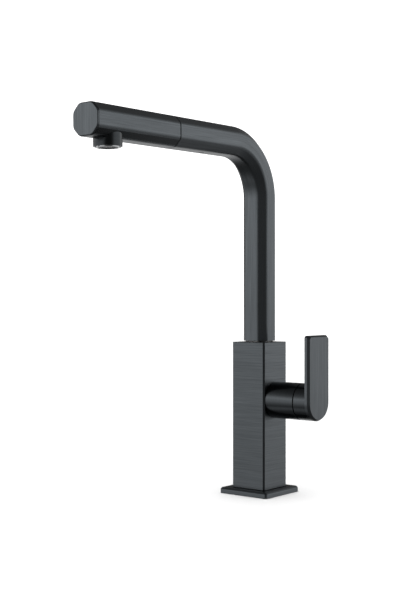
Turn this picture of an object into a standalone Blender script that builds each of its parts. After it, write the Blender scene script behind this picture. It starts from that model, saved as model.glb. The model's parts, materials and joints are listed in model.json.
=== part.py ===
"""Single-lever kitchen mixer tap, square in section, with a pull-out spray head.

The origin is on the worktop's surface, on the axis the spout swivels about. +Z is up, the spout
reaches towards -Y and the lever is on the +X side. Every size is in metres.
"""

from math import asin, cos, hypot, pi, radians, sin, sqrt, tan

import bmesh
import bpy
from mathutils import Matrix, Vector

MM = 0.001

# Clearances
GAP = 0.3 * MM  # between pieces that are fixed to each other
RUNNING = 0.1 * MM  # radial, between a shaft and its bush

# Base plate and what clamps it to the worktop
PLATE_WIDTH = 59 * MM
PLATE_THICKNESS = 6 * MM
PLATE_BEVEL = 1.6 * MM
PLATE_CORNER = 3 * MM
GASKET_WIDTH = 4 * MM
GASKET_DEPTH = 2.2 * MM
WORKTOP_THICKNESS = 20 * MM
SHANK_LENGTH = 52 * MM
SHANK_WALL = 1.6 * MM
NUT_HEIGHT = 12 * MM
NUT_RIM = 8 * MM
RUBBER_WASHER_THICKNESS = 3 * MM
METAL_WASHER_THICKNESS = 1.5 * MM

# Column
COLUMN_WIDTH = 40.6 * MM
COLUMN_HEIGHT = 156 * MM
COLUMN_WALL = 2.4 * MM
COLUMN_EDGE = 1.4 * MM

# Pull-out hose and the water ways beside it
HOSE_DIAMETER = 11.4 * MM
HOSE_SLACK = 1.3 * MM  # radial, in the valve core
HOSE_OFFSET = 2.4 * MM  # towards -X below the swivel, which leaves room for the copper tails
HOSE_TAIL = 75 * MM
PORT_RADIUS = 2.6 * MM
PORT_WALL = 3 * MM
PORT_ANGLE = radians(55)
TAIL_DIAMETER = 8 * MM
TAIL_WALL = 1 * MM
TAIL_LENGTH = 70 * MM

# Spout swivel
SWIVEL_DEPTH = 41 * MM
SWIVEL_SLACK = 2.5 * MM  # radial, between hose and sleeve
SLEEVE_WALL = 3.8 * MM
BUSH_WALL = 1.6 * MM
BUSH_HEIGHT = 8 * MM
SLIP_RING_WIDTH = 1.5 * MM
SLIP_RING_THICKNESS = 0.6 * MM
SWIVEL_ANGLE = radians(60)  # each way
STOP_SCREW_DIAMETER = 4.2 * MM

# Spout tube
SPOUT_WIDTH = 30.4 * MM
SPOUT_DEPTH = 29.2 * MM
SPOUT_CHAMFER = 7.5 * MM
SPOUT_WALL = 1.5 * MM
SPOUT_AXIS_HEIGHT = 357.3 * MM
BEND_RADIUS = 54 * MM
BEND_STEPS = 14
ARM_LENGTH = 89.4 * MM
ARM_DROOP = radians(1)

# Dock of the spray head inside the arm's mouth
DOCK_LENGTH = 57 * MM
DOCK_SEAT_DEPTH = 37.5 * MM
DOCK_SCREW_SETBACK = 48.3 * MM
DOCK_SCREW_DIAMETER = 4 * MM
SPIGOT_LENGTH = 32 * MM
SPIGOT_WALL = 2.2 * MM
SPIGOT_CLEARANCE = 0.4 * MM

# Spray head
HEAD_LENGTH = 109.4 * MM
HEAD_WALL = 1.8 * MM
HEAD_CAP_THICKNESS = 1.6 * MM
NOZZLE_SETBACK = 81.7 * MM  # from the arm's mouth
NOZZLE_DIAMETER = 25.8 * MM
NOZZLE_DROP = 21.3 * MM  # from the arm's axis
NOZZLE_WALL = 1.6 * MM
AERATOR_WALL = 2 * MM
AERATOR_PROUD = 1 * MM
FERRULE_WALL = 0.95 * MM

# Valve cartridge and its housing, measured along the lever's axis
HANDLE_DROP = 59 * MM  # axis below the column's top
CARTRIDGE_DIAMETER = 28 * MM
HOUSING_WALL = 4.6 * MM
HOUSING_LENGTH = 32.7 * MM
HOUSING_FLOOR = 4 * MM
HOUSING_SPIGOT_RADIUS = 12.7 * MM
RECESS_DEPTH = 4.1 * MM
DISC_TRAVEL = 4.2 * MM
LIFT_ANGLE = radians(25)

# Lever
PIVOT_DEPTH = 7.3 * MM  # lift pivot behind the housing's end
HUB_GAP = 1.3 * MM
HUB_LENGTH = 13.4 * MM
LEVER_THICKNESS = 5.4 * MM
LEVER_REACH = 67 * MM
LEVER_CORNER = 3 * MM
LEVER_BEVEL = 1.7 * MM
STEM_WIDTH = 7 * MM
STEM_BOSS_RADIUS = 5.9 * MM
PIN_DIAMETER = 3 * MM
HUB_SEGMENTS = 40

# Sizes that follow from those above
HOSE_RADIUS = HOSE_DIAMETER / 2
TAIL_RADIUS = TAIL_DIAMETER / 2
CORE_HALF = COLUMN_WIDTH / 2 - COLUMN_WALL - GAP
CORE_BOTTOM = PLATE_THICKNESS + GAP
CORE_TOP = COLUMN_HEIGHT - COLUMN_WALL - GAP
CORE_SPIGOT_BOTTOM = -8 * MM
CUP_FLOOR = CORE_TOP - SWIVEL_DEPTH
HOSE_BORE = HOSE_RADIUS + HOSE_SLACK
PORT_CIRCLE = HOSE_BORE - HOSE_OFFSET + PORT_WALL + PORT_RADIUS
SHANK_BORE = PORT_CIRCLE + TAIL_RADIUS + 0.8 * MM
SHANK_RADIUS = SHANK_BORE + SHANK_WALL
CORE_SPIGOT_RADIUS = SHANK_BORE - GAP

SLEEVE_BORE = HOSE_RADIUS + SWIVEL_SLACK
SLEEVE_RADIUS = SLEEVE_BORE + SLEEVE_WALL
BUSH_BORE = SLEEVE_RADIUS + RUNNING
BUSH_RADIUS = BUSH_BORE + BUSH_WALL
CUP_RADIUS = BUSH_RADIUS + GAP
STOP_HEIGHT = CUP_FLOOR + 15 * MM
FRICTION_RING_HEIGHT = CUP_FLOOR + 25 * MM
SLIP_RING_BOTTOM = COLUMN_HEIGHT + GAP
RISER_BOTTOM = SLIP_RING_BOTTOM + SLIP_RING_THICKNESS + GAP
BEND_HEIGHT = SPOUT_AXIS_HEIGHT - BEND_RADIUS

HANDLE_HEIGHT = COLUMN_HEIGHT - HANDLE_DROP
CARTRIDGE_RADIUS = CARTRIDGE_DIAMETER / 2
HANDLE_RADIUS = CARTRIDGE_RADIUS + HOUSING_WALL
HOUSING_START = COLUMN_WIDTH / 2 + GAP
HOUSING_END = HOUSING_START + HOUSING_LENGTH
RECESS_FLOOR = CORE_HALF - RECESS_DEPTH
CHAMBER_FLOOR = HOUSING_START + HOUSING_FLOOR
CHAMBER_RADIUS = CARTRIDGE_RADIUS + GAP
PIVOT_X = HOUSING_END - PIVOT_DEPTH
NUT_BORE = CHAMBER_RADIUS + 1.8 * MM
CARTRIDGE_WALL = 2.1 * MM
CARTRIDGE_BORE = CARTRIDGE_RADIUS - CARTRIDGE_WALL
HUB_START = PIVOT_DEPTH + HUB_GAP
HUB_END = HUB_START + HUB_LENGTH
LEVER_FACE = HUB_END + LEVER_THICKNESS
HUB_SPHERE = hypot(PIVOT_DEPTH, HANDLE_RADIUS) + 0.3 * MM
DOME_SPHERE = HUB_SPHERE - 0.8 * MM
DOME_HOLE = DOME_SPHERE * sin(asin(STEM_BOSS_RADIUS / DOME_SPHERE) + LIFT_ANGLE) + 0.4 * MM
STEM_END = HUB_END + 1 * MM
GRUB_PLACE = STEM_END - 2.1 * MM

DOCK_FRONT = ARM_LENGTH - 0.4 * MM
FERRULE_RADIUS = HOSE_RADIUS + GAP + FERRULE_WALL
SPIGOT_BORE = FERRULE_RADIUS + 0.35 * MM
SPIGOT_RADIUS = SPIGOT_BORE + SPIGOT_WALL
DOCK_SEAT_RADIUS = SPIGOT_RADIUS + SPIGOT_CLEARANCE
HEAD_START = ARM_LENGTH + GAP
NOZZLE_S = ARM_LENGTH + NOZZLE_SETBACK
NOZZLE_BORE = NOZZLE_DIAMETER / 2 - NOZZLE_WALL
AERATOR_RADIUS = NOZZLE_BORE - GAP
AERATOR_BORE = AERATOR_RADIUS - AERATOR_WALL
# The nozzle's boss reaches up past where the chamfers run out on its sides
BOSS_TOP = SPOUT_DEPTH / 2 - (NOZZLE_DIAMETER / 2 - SPOUT_WIDTH / 2 + SPOUT_CHAMFER) - 1 * MM
WATERWAY_RADIUS = BOSS_TOP - 0.8 * MM


# --- Scene, materials and mesh helpers ---


def clear_scene():
    for thing in list(bpy.data.objects):
        bpy.data.objects.remove(thing)


def material(name, colour, roughness, metallic):
    made = bpy.data.materials.new(name)
    made.use_nodes = True
    shader = made.node_tree.nodes["Principled BSDF"]
    shader.inputs["Base Color"].default_value = (*colour, 1)
    shader.inputs["Roughness"].default_value = roughness
    shader.inputs["Metallic"].default_value = metallic
    return made


def frame(name, location, tilt=0.0):
    """An empty that pieces are parented to, at a joint's axis. Tilt turns it about X."""
    made = bpy.data.objects.new(name, None)
    bpy.context.scene.collection.objects.link(made)
    made.location = location
    made.rotation_euler = (tilt, 0, 0)
    return made


def add_object(name, mesh_data, parent, finish=None):
    """Finish None makes a cutter, which is not part of the tap."""
    mesh_data.normal_update()
    bmesh.ops.recalc_face_normals(mesh_data, faces=mesh_data.faces)
    mesh = bpy.data.meshes.new(name)
    mesh_data.to_mesh(mesh)
    mesh_data.free()
    made = bpy.data.objects.new(name, mesh)
    bpy.context.scene.collection.objects.link(made)
    made.parent = parent
    if finish is None:
        made.hide_render = True
        made.display_type = "WIRE"
    else:
        mesh.materials.append(finish)
        mesh.shade_smooth()
        mesh.set_sharp_from_angle(angle=radians(30))
    return made


def boolean(target, other, operation):
    modifier = target.modifiers.new(other.name, "BOOLEAN")
    modifier.operation = operation
    modifier.solver = "EXACT"
    modifier.object = other
    other.hide_render = True
    other.display_type = "WIRE"


def cut(target, *cutters):
    for cutter in cutters:
        boolean(target, cutter, "DIFFERENCE")


def join(target, *others):
    for other in others:
        boolean(target, other, "UNION")


def along(axis, distance, across, up):
    """A point at a distance along an axis. 'Y' runs towards -Y, the way the spout reaches."""
    if axis == "X":
        return Vector((distance, across, up))
    if axis == "Y":
        return Vector((across, -distance, up))
    return Vector((across, up, distance))


def loft_mesh(rings, closed=False):
    """Skin through rings of points, all of one length. Closed joins the last ring to the first."""
    mesh = bmesh.new()
    loops = [[mesh.verts.new(point) for point in ring] for ring in rings]
    pairs = list(zip(loops, loops[1:]))
    if closed:
        pairs.append((loops[-1], loops[0]))
    else:
        mesh.faces.new(loops[0])
        mesh.faces.new(loops[-1])
    count = len(loops[0])
    for first, second in pairs:
        for i in range(count):
            j = (i + 1) % count
            mesh.faces.new((first[i], first[j], second[j], second[i]))
    return mesh


def turned_mesh(profile, axis, segments, across=0.0, up=0.0):
    """Turn (distance, radius) points about an axis. A point of radius 0 lies on the axis."""
    mesh = bmesh.new()
    rings = []
    for distance, radius in profile:
        steps = segments if radius > 0 else 1
        angles = [2 * pi * i / segments for i in range(steps)]
        rings.append([
            mesh.verts.new(along(axis, distance, across + radius * cos(a), up + radius * sin(a)))
            for a in angles
        ])
    distances = [distance for distance, _ in profile]
    for k, first in enumerate(rings):
        after = (k + 1) % len(rings)
        second = rings[after]
        if len(first) == 1 and len(second) == 1:
            continue
        if min(len(first), len(second)) == 1 and distances[k] == distances[after]:
            mesh.faces.new(max(first, second, key=len))
            continue
        for i in range(segments):
            j = (i + 1) % segments
            corners = [first[i % len(first)], first[j % len(first)]]
            corners += [second[j % len(second)], second[i % len(second)]]
            mesh.faces.new(list(dict.fromkeys(corners)))
    return mesh


def turned(name, profile, parent, finish, axis="Z", segments=28, across=0.0, up=0.0):
    mesh = turned_mesh(profile, axis, segments, across, up)
    return add_object(name, mesh, parent, finish)


def rod(name, radius, start, end, parent, finish=None, axis="Z", segments=24, across=0.0, up=0.0):
    profile = [(start, 0), (start, radius), (end, radius), (end, 0)]
    return turned(name, profile, parent, finish, axis, segments, across, up)


def ring(name, inner, outer, start, end, parent, finish, axis="Z", segments=28, across=0.0, up=0.0):
    profile = [(start, inner), (start, outer), (end, outer), (end, inner)]
    return turned(name, profile, parent, finish, axis, segments, across, up)


def o_ring(name, centre, thickness, at, parent, finish, axis="Z"):
    """Round-section ring: centre is its mean radius, thickness its section's radius."""
    sides = 6
    profile = [
        (at + thickness * sin(2 * pi * i / sides), centre + thickness * cos(2 * pi * i / sides))
        for i in range(sides)
    ]
    return turned(name, profile, parent, finish, axis)


def arc(centre_u, centre_v, radius, start, end, steps):
    return [
        (
            centre_u + radius * cos(start + (end - start) * i / steps),
            centre_v + radius * sin(start + (end - start) * i / steps),
        )
        for i in range(steps + 1)
    ]


def rounded_square(width, corner, steps=4):
    inner = width / 2 - corner
    outline = []
    for quarter, (side_u, side_v) in enumerate(((1, 1), (-1, 1), (-1, -1), (1, -1))):
        start = quarter * pi / 2
        outline += arc(side_u * inner, side_v * inner, corner, start, start + pi / 2, steps)
    return outline


def spout_outline(inset=0.0):
    """The spout's chamfered rectangle, with every side moved in by the inset."""
    half_u = SPOUT_WIDTH / 2 - inset
    half_v = SPOUT_DEPTH / 2 - inset
    chamfer = SPOUT_CHAMFER - inset * (2 - sqrt(2))
    outline = []
    for side_u, side_v in ((1, 1), (-1, 1), (-1, -1), (1, -1)):
        corner = [
            (side_u * half_u, side_v * (half_v - chamfer)),
            (side_u * (half_u - chamfer), side_v * half_v),
        ]
        outline += corner if side_u == side_v else corner[::-1]
    return outline


def ring_at(outline, axis, distance):
    return [along(axis, distance, u, v) for u, v in outline]


def prism(name, outline, start, end, parent, finish=None, axis="Z"):
    mesh = loft_mesh([ring_at(outline, axis, start), ring_at(outline, axis, end)])
    return add_object(name, mesh, parent, finish)


def box(name, low, high, parent):
    outline = [(low[0], low[1]), (high[0], low[1]), (high[0], high[1]), (low[0], high[1])]
    return prism(name, outline, low[2], high[2], parent)


# --- Materials ---

clear_scene()
steel = material("gunmetal_steel", (0.105, 0.112, 0.118), 0.34, 1.0)
brass = material("machined_brass", (0.62, 0.47, 0.22), 0.35, 1.0)
copper = material("copper_tube", (0.62, 0.31, 0.2), 0.35, 1.0)
zinc = material("zinc_plated_steel", (0.55, 0.56, 0.57), 0.35, 1.0)
chrome = material("chrome_ring", (0.6, 0.61, 0.62), 0.12, 1.0)
rubber = material("black_rubber", (0.02, 0.02, 0.02), 0.7, 0.0)
acetal = material("black_acetal", (0.03, 0.03, 0.032), 0.45, 0.0)
polymer = material("white_polymer", (0.62, 0.62, 0.6), 0.45, 0.0)
ceramic = material("alumina_ceramic", (0.78, 0.78, 0.75), 0.25, 0.0)
braid = material("braided_hose", (0.09, 0.09, 0.095), 0.55, 0.0)

deck_frame = frame("deck_origin", (0, 0, 0))
swivel_frame = frame("spout_swivel_axis", (0, 0, 0))
handle_frame = frame("temperature_axis", (0, 0, HANDLE_HEIGHT))
lift_frame = frame("flow_lift_pivot", (PIVOT_X, 0, HANDLE_HEIGHT))
ARM_ORIGIN = (
    0,
    -BEND_RADIUS * (1 + sin(ARM_DROOP)),
    BEND_HEIGHT + BEND_RADIUS * cos(ARM_DROOP),
)
arm_frame = frame("head_slide_axis", ARM_ORIGIN, ARM_DROOP)


# --- Base plate and mounting ---


def base_plate():
    full = rounded_square(PLATE_WIDTH, PLATE_CORNER)
    top = rounded_square(PLATE_WIDTH - 2 * PLATE_BEVEL, PLATE_CORNER - PLATE_BEVEL)
    shoulder = PLATE_THICKNESS - PLATE_BEVEL
    rings = [ring_at(full, "Z", 0), ring_at(full, "Z", shoulder), ring_at(top, "Z", PLATE_THICKNESS)]
    plate = add_object("base_plate", loft_mesh(rings), deck_frame, steel)
    groove_inner = SHANK_RADIUS + 4.4 * MM
    groove_outer = groove_inner + GASKET_WIDTH + 2 * GAP
    groove_top = GASKET_DEPTH + GAP
    hole = rod("plate_hole_cut", SHANK_RADIUS + GAP, -MM, PLATE_THICKNESS + MM, deck_frame, segments=40)
    groove = ring("gasket_groove_cut", groove_inner, groove_outer, -MM, groove_top, deck_frame, None)
    cut(plate, hole, groove)
    ring(
        "base_gasket", groove_inner + GAP, groove_outer - GAP, 0, GASKET_DEPTH, deck_frame, rubber
    )


def mounting():
    ring("threaded_shank", SHANK_BORE, SHANK_RADIUS, -SHANK_LENGTH, PLATE_THICKNESS, deck_frame, brass)
    washer_bore = SHANK_RADIUS + GAP
    washer_radius = washer_bore + NUT_RIM
    top = -WORKTOP_THICKNESS - GAP
    bottom = top - RUBBER_WASHER_THICKNESS
    ring("rubber_washer", washer_bore, washer_radius, bottom, top, deck_frame, rubber)
    top = bottom - GAP
    bottom = top - METAL_WASHER_THICKNESS
    ring("metal_washer", washer_bore, washer_radius, bottom, top, deck_frame, zinc)
    top = bottom - GAP
    nut_radius = washer_radius + 2 * MM
    nut = rod("shank_nut", nut_radius, top - NUT_HEIGHT, top, deck_frame, brass, segments=6)
    hole = rod("nut_hole_cut", washer_bore, top - NUT_HEIGHT - MM, top + MM, deck_frame, segments=40)
    cut(nut, hole)


# --- Column and valve core ---


def column_body():
    outer = rounded_square(COLUMN_WIDTH, COLUMN_EDGE)
    body = prism("column_body", outer, CORE_BOTTOM, COLUMN_HEIGHT, deck_frame, steel)
    half = COLUMN_WIDTH / 2 - COLUMN_WALL
    top = COLUMN_HEIGHT - COLUMN_WALL
    hollow = box("column_hollow_cut", (-half, -half, 0), (half, half, top), deck_frame)
    lid_hole = rod(
        "lid_hole_cut", SLEEVE_RADIUS + GAP, top - MM, COLUMN_HEIGHT + MM, deck_frame, segments=40
    )
    side_hole = rod(
        "housing_hole_cut", HOUSING_SPIGOT_RADIUS + GAP, CORE_HALF, COLUMN_WIDTH, handle_frame,
        axis="X", segments=40,
    )
    screw_hole = rod(
        "stop_hole_cut", STOP_SCREW_DIAMETER / 2 + 2 * GAP, -COLUMN_WIDTH, -half + MM, deck_frame,
        axis="Y", segments=16, up=STOP_HEIGHT,
    )
    cut(body, hollow, lid_hole, side_hole, screw_hole)


def port_places():
    """Centres of the three vertical water ways: hot, mixed and cold."""
    angles = {"hot": -PORT_ANGLE, "mixed": 0.0, "cold": PORT_ANGLE}
    return {name: (PORT_CIRCLE * cos(a), PORT_CIRCLE * sin(a)) for name, a in angles.items()}


def cartridge_ports():
    """Each port's place on the cartridge's face, from the lever's axis, and its radius."""
    return {
        "hot": (-6 * MM, 5 * MM, 2 * MM),
        "mixed": (0, -4.2 * MM, PORT_RADIUS),
        "cold": (6 * MM, 5 * MM, 2 * MM),
    }


def drill_ports(target, start, end, extra=0.0):
    for name, (across, up, radius) in cartridge_ports().items():
        drill = rod(
            f"{target.name}_{name}_cut", radius + extra, start, end, handle_frame,
            axis="X", segments=12, across=across, up=up,
        )
        cut(target, drill)


def valve_core():
    square = rounded_square(2 * CORE_HALF, COLUMN_EDGE, 2)
    core = prism("valve_core", square, CORE_BOTTOM, CORE_TOP, deck_frame, brass)
    spigot = rod(
        "core_spigot", CORE_SPIGOT_RADIUS, CORE_SPIGOT_BOTTOM, CORE_BOTTOM + MM, deck_frame, segments=28
    )
    join(core, spigot)
    low = CORE_SPIGOT_BOTTOM - MM
    cut(
        core,
        rod("hose_bore_cut", HOSE_BORE, low, CUP_FLOOR + MM, deck_frame, across=-HOSE_OFFSET),
        rod("swivel_cup_cut", CUP_RADIUS, CUP_FLOOR, CORE_TOP + MM, deck_frame, segments=32),
        rod(
            "housing_recess_cut", HOUSING_SPIGOT_RADIUS + GAP, RECESS_FLOOR, COLUMN_WIDTH,
            handle_frame, axis="X", segments=28,
        ),
        rod(
            "stop_thread_cut", STOP_SCREW_DIAMETER / 2 + GAP, -COLUMN_WIDTH, -SLEEVE_RADIUS,
            deck_frame, axis="Y", segments=16, up=STOP_HEIGHT,
        ),
    )
    ports = cartridge_ports()
    for name, (x, y) in port_places().items():
        top = HANDLE_HEIGHT + ports[name][1]
        cut(core, rod(f"core_{name}_cut", PORT_RADIUS, low, top, deck_frame, across=x, up=y, segments=12))
    inlet_x = PORT_CIRCLE * cos(PORT_ANGLE)
    drill_ports(core, inlet_x, RECESS_FLOOR + MM)


def supply_tails():
    names = {"hot": "hot_supply_tail", "mixed": "mixed_outlet_tail", "cold": "cold_supply_tail"}
    for port, (x, y) in port_places().items():
        ring(
            names[port], TAIL_RADIUS - TAIL_WALL, TAIL_RADIUS, -TAIL_LENGTH, CORE_SPIGOT_BOTTOM - GAP,
            deck_frame, copper, segments=20, across=x, up=y,
        )


# --- Spout swivel ---


def swivel():
    bottom = CUP_FLOOR + GAP
    ring(
        "lower_swivel_bush", BUSH_BORE, BUSH_RADIUS, bottom, bottom + BUSH_HEIGHT, deck_frame, acetal,
        segments=40,
    )
    top = CORE_TOP - GAP
    ring(
        "upper_swivel_bush", BUSH_BORE, BUSH_RADIUS, top - BUSH_HEIGHT, top, deck_frame, acetal,
        segments=40,
    )
    slip_inner = SLEEVE_RADIUS + 0.4 * MM
    ring(
        "slip_ring", slip_inner, slip_inner + SLIP_RING_WIDTH, SLIP_RING_BOTTOM,
        SLIP_RING_BOTTOM + SLIP_RING_THICKNESS, deck_frame, acetal,
    )
    tip = SLEEVE_BORE + 2 * MM
    rod(
        "swivel_stop_screw", STOP_SCREW_DIAMETER / 2, -COLUMN_WIDTH / 2 + 0.6 * MM, -tip, deck_frame,
        zinc, axis="Y", segments=16, up=STOP_HEIGHT,
    )


def swivel_sleeve():
    groove_radius = SLEEVE_RADIUS - 0.6 * MM
    section = (CUP_RADIUS - groove_radius) / 2 - GAP
    groove_half = section + GAP
    shoulder = RISER_BOTTOM - GAP / 3
    profile = [
        (CUP_FLOOR + GAP, SLEEVE_BORE),
        (CUP_FLOOR + GAP, SLEEVE_RADIUS),
        (FRICTION_RING_HEIGHT - groove_half, SLEEVE_RADIUS),
        (FRICTION_RING_HEIGHT - groove_half, groove_radius),
        (FRICTION_RING_HEIGHT + groove_half, groove_radius),
        (FRICTION_RING_HEIGHT + groove_half, SLEEVE_RADIUS),
        (shoulder, SLEEVE_RADIUS),
        (shoulder, SLEEVE_BORE + 2 * MM),
        (RISER_BOTTOM + 2 * MM, SLEEVE_BORE + 2 * MM),
        (RISER_BOTTOM + 2 * MM, SLEEVE_BORE),
    ]
    sleeve = turned("swivel_sleeve", profile, swivel_frame, steel)
    plug = prism(
        "sleeve_plug", spout_outline(SPOUT_WALL + GAP), RISER_BOTTOM - GAP * 2 / 3,
        RISER_BOTTOM + 19 * MM, swivel_frame,
    )
    plug_bore = rod(
        "plug_bore_cut", SLEEVE_BORE, RISER_BOTTOM - GAP, RISER_BOTTOM + 20 * MM, swivel_frame,
        segments=28,
    )
    slot = sector("stop_slot_cut", SLEEVE_BORE + 1.6 * MM, SLEEVE_RADIUS + MM)
    join(sleeve, plug)
    cut(sleeve, plug_bore, slot)
    o_ring(
        "swivel_friction_ring", (groove_radius + CUP_RADIUS) / 2, section, FRICTION_RING_HEIGHT,
        swivel_frame, rubber,
    )


def sector(name, inner, outer):
    """The part of a ring that the stop screw's tip travels through as the spout swings."""
    tip_angle = (STOP_SCREW_DIAMETER / 2 + GAP) / inner
    half_height = STOP_SCREW_DIAMETER / 2 + GAP
    start = pi / 2 - SWIVEL_ANGLE - tip_angle
    end = pi / 2 + SWIVEL_ANGLE + tip_angle
    outline = arc(0, 0, inner, start, end, 20) + arc(0, 0, outer, end, start, 20)
    return prism(name, outline, STOP_HEIGHT - half_height, STOP_HEIGHT + half_height, swivel_frame)


# --- Spout ---


def spout_rings(inset):
    outline = spout_outline(inset)
    stations = [Matrix.Translation((0, 0, RISER_BOTTOM))]
    for i in range(BEND_STEPS + 1):
        angle = (pi / 2 + ARM_DROOP) * i / BEND_STEPS
        centre = Matrix.Translation((0, -BEND_RADIUS, BEND_HEIGHT))
        turn = Matrix.Rotation(angle, 4, "X")
        stations.append(centre @ turn @ Matrix.Translation((0, BEND_RADIUS, 0)))
    stations.append(stations[-1] @ Matrix.Translation((0, 0, ARM_LENGTH)))
    return [[station @ Vector((u, v, 0)) for u, v in outline] for station in stations]


def spout_tube():
    outer = spout_rings(0)
    inner = spout_rings(SPOUT_WALL)
    mesh = loft_mesh(outer + inner[::-1], closed=True)
    tube = add_object("spout_tube", mesh, swivel_frame, steel)
    place = ARM_LENGTH - DOCK_SCREW_SETBACK
    hole = turned(
        "dock_screw_hole_cut", screw_profile(DOCK_SCREW_DIAMETER / 2 + GAP, SPOUT_DEPTH, SPOUT_DEPTH / 4),
        arm_frame, None, segments=16, up=-place,
    )
    cut(tube, hole)


def screw_profile(radius, below, above):
    """A rod along the frame's Z, from below to above its axis, both given as depths."""
    return [(-below, 0), (-below, radius), (-above, radius), (-above, 0)]


def docking_sleeve():
    back = DOCK_FRONT - DOCK_LENGTH
    outline = spout_outline(SPOUT_WALL + GAP)
    sleeve = prism("docking_sleeve", outline, back, DOCK_FRONT, arm_frame, acetal, axis="Y")
    seat_floor = DOCK_FRONT - DOCK_SEAT_DEPTH
    guide = rod(
        "hose_guide_cut", HOSE_RADIUS + 1.5 * MM, back - MM, DOCK_FRONT, arm_frame, axis="Y"
    )
    seat = rod(
        "dock_seat_cut", DOCK_SEAT_RADIUS, seat_floor, DOCK_FRONT + MM, arm_frame, axis="Y", segments=32
    )
    place = ARM_LENGTH - DOCK_SCREW_SETBACK
    floor = SPOUT_DEPTH / 2 - SPOUT_WALL
    screw_hole = turned(
        "dock_thread_cut", screw_profile(DOCK_SCREW_DIAMETER / 2 + GAP, SPOUT_DEPTH, floor - 4.6 * MM),
        arm_frame, None, segments=16, up=-place,
    )
    cut(sleeve, guide, seat, screw_hole)
    screw = turned(
        "docking_sleeve_screw",
        screw_profile(DOCK_SCREW_DIAMETER / 2, SPOUT_DEPTH / 2 - GAP, floor - 4.2 * MM),
        arm_frame, zinc, segments=16, up=-place,
    )
    socket = turned(
        "dock_socket_cut", screw_profile(1.1 * MM, SPOUT_DEPTH, SPOUT_DEPTH / 2 - 1.8 * MM),
        arm_frame, None, segments=6, up=-place,
    )
    cut(screw, socket)


# --- Pull-out hose, in one run for each body it passes through ---


def hose(name, points, parent):
    curve = bpy.data.curves.new(name, "CURVE")
    curve.dimensions = "3D"
    curve.bevel_depth = HOSE_RADIUS
    curve.bevel_resolution = 2
    curve.use_fill_caps = True
    spline = curve.splines.new("POLY")
    spline.points.add(len(points) - 1)
    for spline_point, point in zip(spline.points, points):
        spline_point.co = (*point, 1)
    curve.materials.append(braid)
    made = bpy.data.objects.new(name, curve)
    bpy.context.scene.collection.objects.link(made)
    made.parent = parent


def hose_shift(height):
    """How far the hose stands off the swivel axis: it eases onto it inside the sleeve."""
    start = CUP_FLOOR - 17 * MM
    end = CUP_FLOOR + 27.7 * MM
    share = min(max((height - start) / (end - start), 0), 1)
    return -HOSE_OFFSET * (1 - share * share * (3 - 2 * share))


def hose_runs():
    split = CUP_FLOOR + 27.7 * MM
    steps = 18
    heights = [-HOSE_TAIL + (split + HOSE_TAIL) * i / steps for i in range(steps + 1)]
    hose("hose_shank_run", [(hose_shift(z), 0, z) for z in heights], deck_frame)
    riser = [(0, 0, split + GAP), (0, 0, (split + BEND_HEIGHT) / 2)]
    bend = arc(-BEND_RADIUS, BEND_HEIGHT, BEND_RADIUS, 0, pi / 2 + ARM_DROOP, BEND_STEPS)
    arm_split = DOCK_FRONT - DOCK_LENGTH - 12 * MM
    origin = Vector(ARM_ORIGIN)
    reach = Vector((0, -cos(ARM_DROOP), -sin(ARM_DROOP)))
    points = riser + [(0, y, z) for y, z in bend] + [tuple(origin + reach * (arm_split - GAP))]
    hose("hose_riser_run", points, swivel_frame)
    hose_end = HEAD_START + 3.6 * MM
    steps = 4
    places = [arm_split + (hose_end - arm_split) * i / steps for i in range(steps + 1)]
    hose("hose_head_run", [(0, -place, 0) for place in places], arm_frame)


# --- Spray head ---


def head_shell():
    end = ARM_LENGTH + HEAD_LENGTH - HEAD_CAP_THICKNESS - GAP
    outer = [ring_at(spout_outline(), "Y", s) for s in (HEAD_START, end)]
    inner = [ring_at(spout_outline(HEAD_WALL), "Y", s) for s in (end, HEAD_START)]
    shell = add_object("head_shell", loft_mesh(outer + inner, closed=True), arm_frame, steel)
    boss = turned(
        "nozzle_boss", screw_profile(NOZZLE_DIAMETER / 2, NOZZLE_DROP, BOSS_TOP),
        arm_frame, None, up=-NOZZLE_S,
    )
    bore = turned(
        "nozzle_bore_cut", screw_profile(NOZZLE_BORE, NOZZLE_DROP + MM, 0),
        arm_frame, None, up=-NOZZLE_S,
    )
    join(shell, boss)
    cut(shell, bore)


def head_end_cap():
    end = ARM_LENGTH + HEAD_LENGTH
    shoulder = end - HEAD_CAP_THICKNESS
    plug = spout_outline(HEAD_WALL + GAP)
    rings = [
        ring_at(plug, "Y", shoulder - 6 * MM),
        ring_at(plug, "Y", shoulder),
        ring_at(spout_outline(), "Y", shoulder),
        ring_at(spout_outline(), "Y", end - 0.5 * MM),
        ring_at(spout_outline(0.5 * MM), "Y", end),
    ]
    add_object("head_end_cap", loft_mesh(rings), arm_frame, steel)


def docking_spigot():
    groove_at = ARM_LENGTH - SPIGOT_LENGTH + 8 * MM
    groove_radius = SPIGOT_RADIUS - 1.3 * MM
    section = (DOCK_SEAT_RADIUS - groove_radius) / 2 - 0.25 * MM
    groove_half = section + GAP
    flange_radius = SPOUT_DEPTH / 2 - HEAD_WALL - GAP
    profile = [
        (ARM_LENGTH - SPIGOT_LENGTH, SPIGOT_BORE),
        (ARM_LENGTH - SPIGOT_LENGTH, SPIGOT_RADIUS),
        (groove_at - groove_half, SPIGOT_RADIUS),
        (groove_at - groove_half, groove_radius),
        (groove_at + groove_half, groove_radius),
        (groove_at + groove_half, SPIGOT_RADIUS),
        (HEAD_START + 1.2 * MM, SPIGOT_RADIUS),
        (HEAD_START + 1.2 * MM, flange_radius),
        (HEAD_START + 5 * MM, flange_radius),
        (HEAD_START + 5 * MM, SPIGOT_BORE),
    ]
    turned("docking_spigot", profile, arm_frame, polymer, axis="Y")
    centre = (groove_radius + DOCK_SEAT_RADIUS) / 2
    o_ring("docking_o_ring", centre, section, groove_at, arm_frame, rubber, axis="Y")


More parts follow.
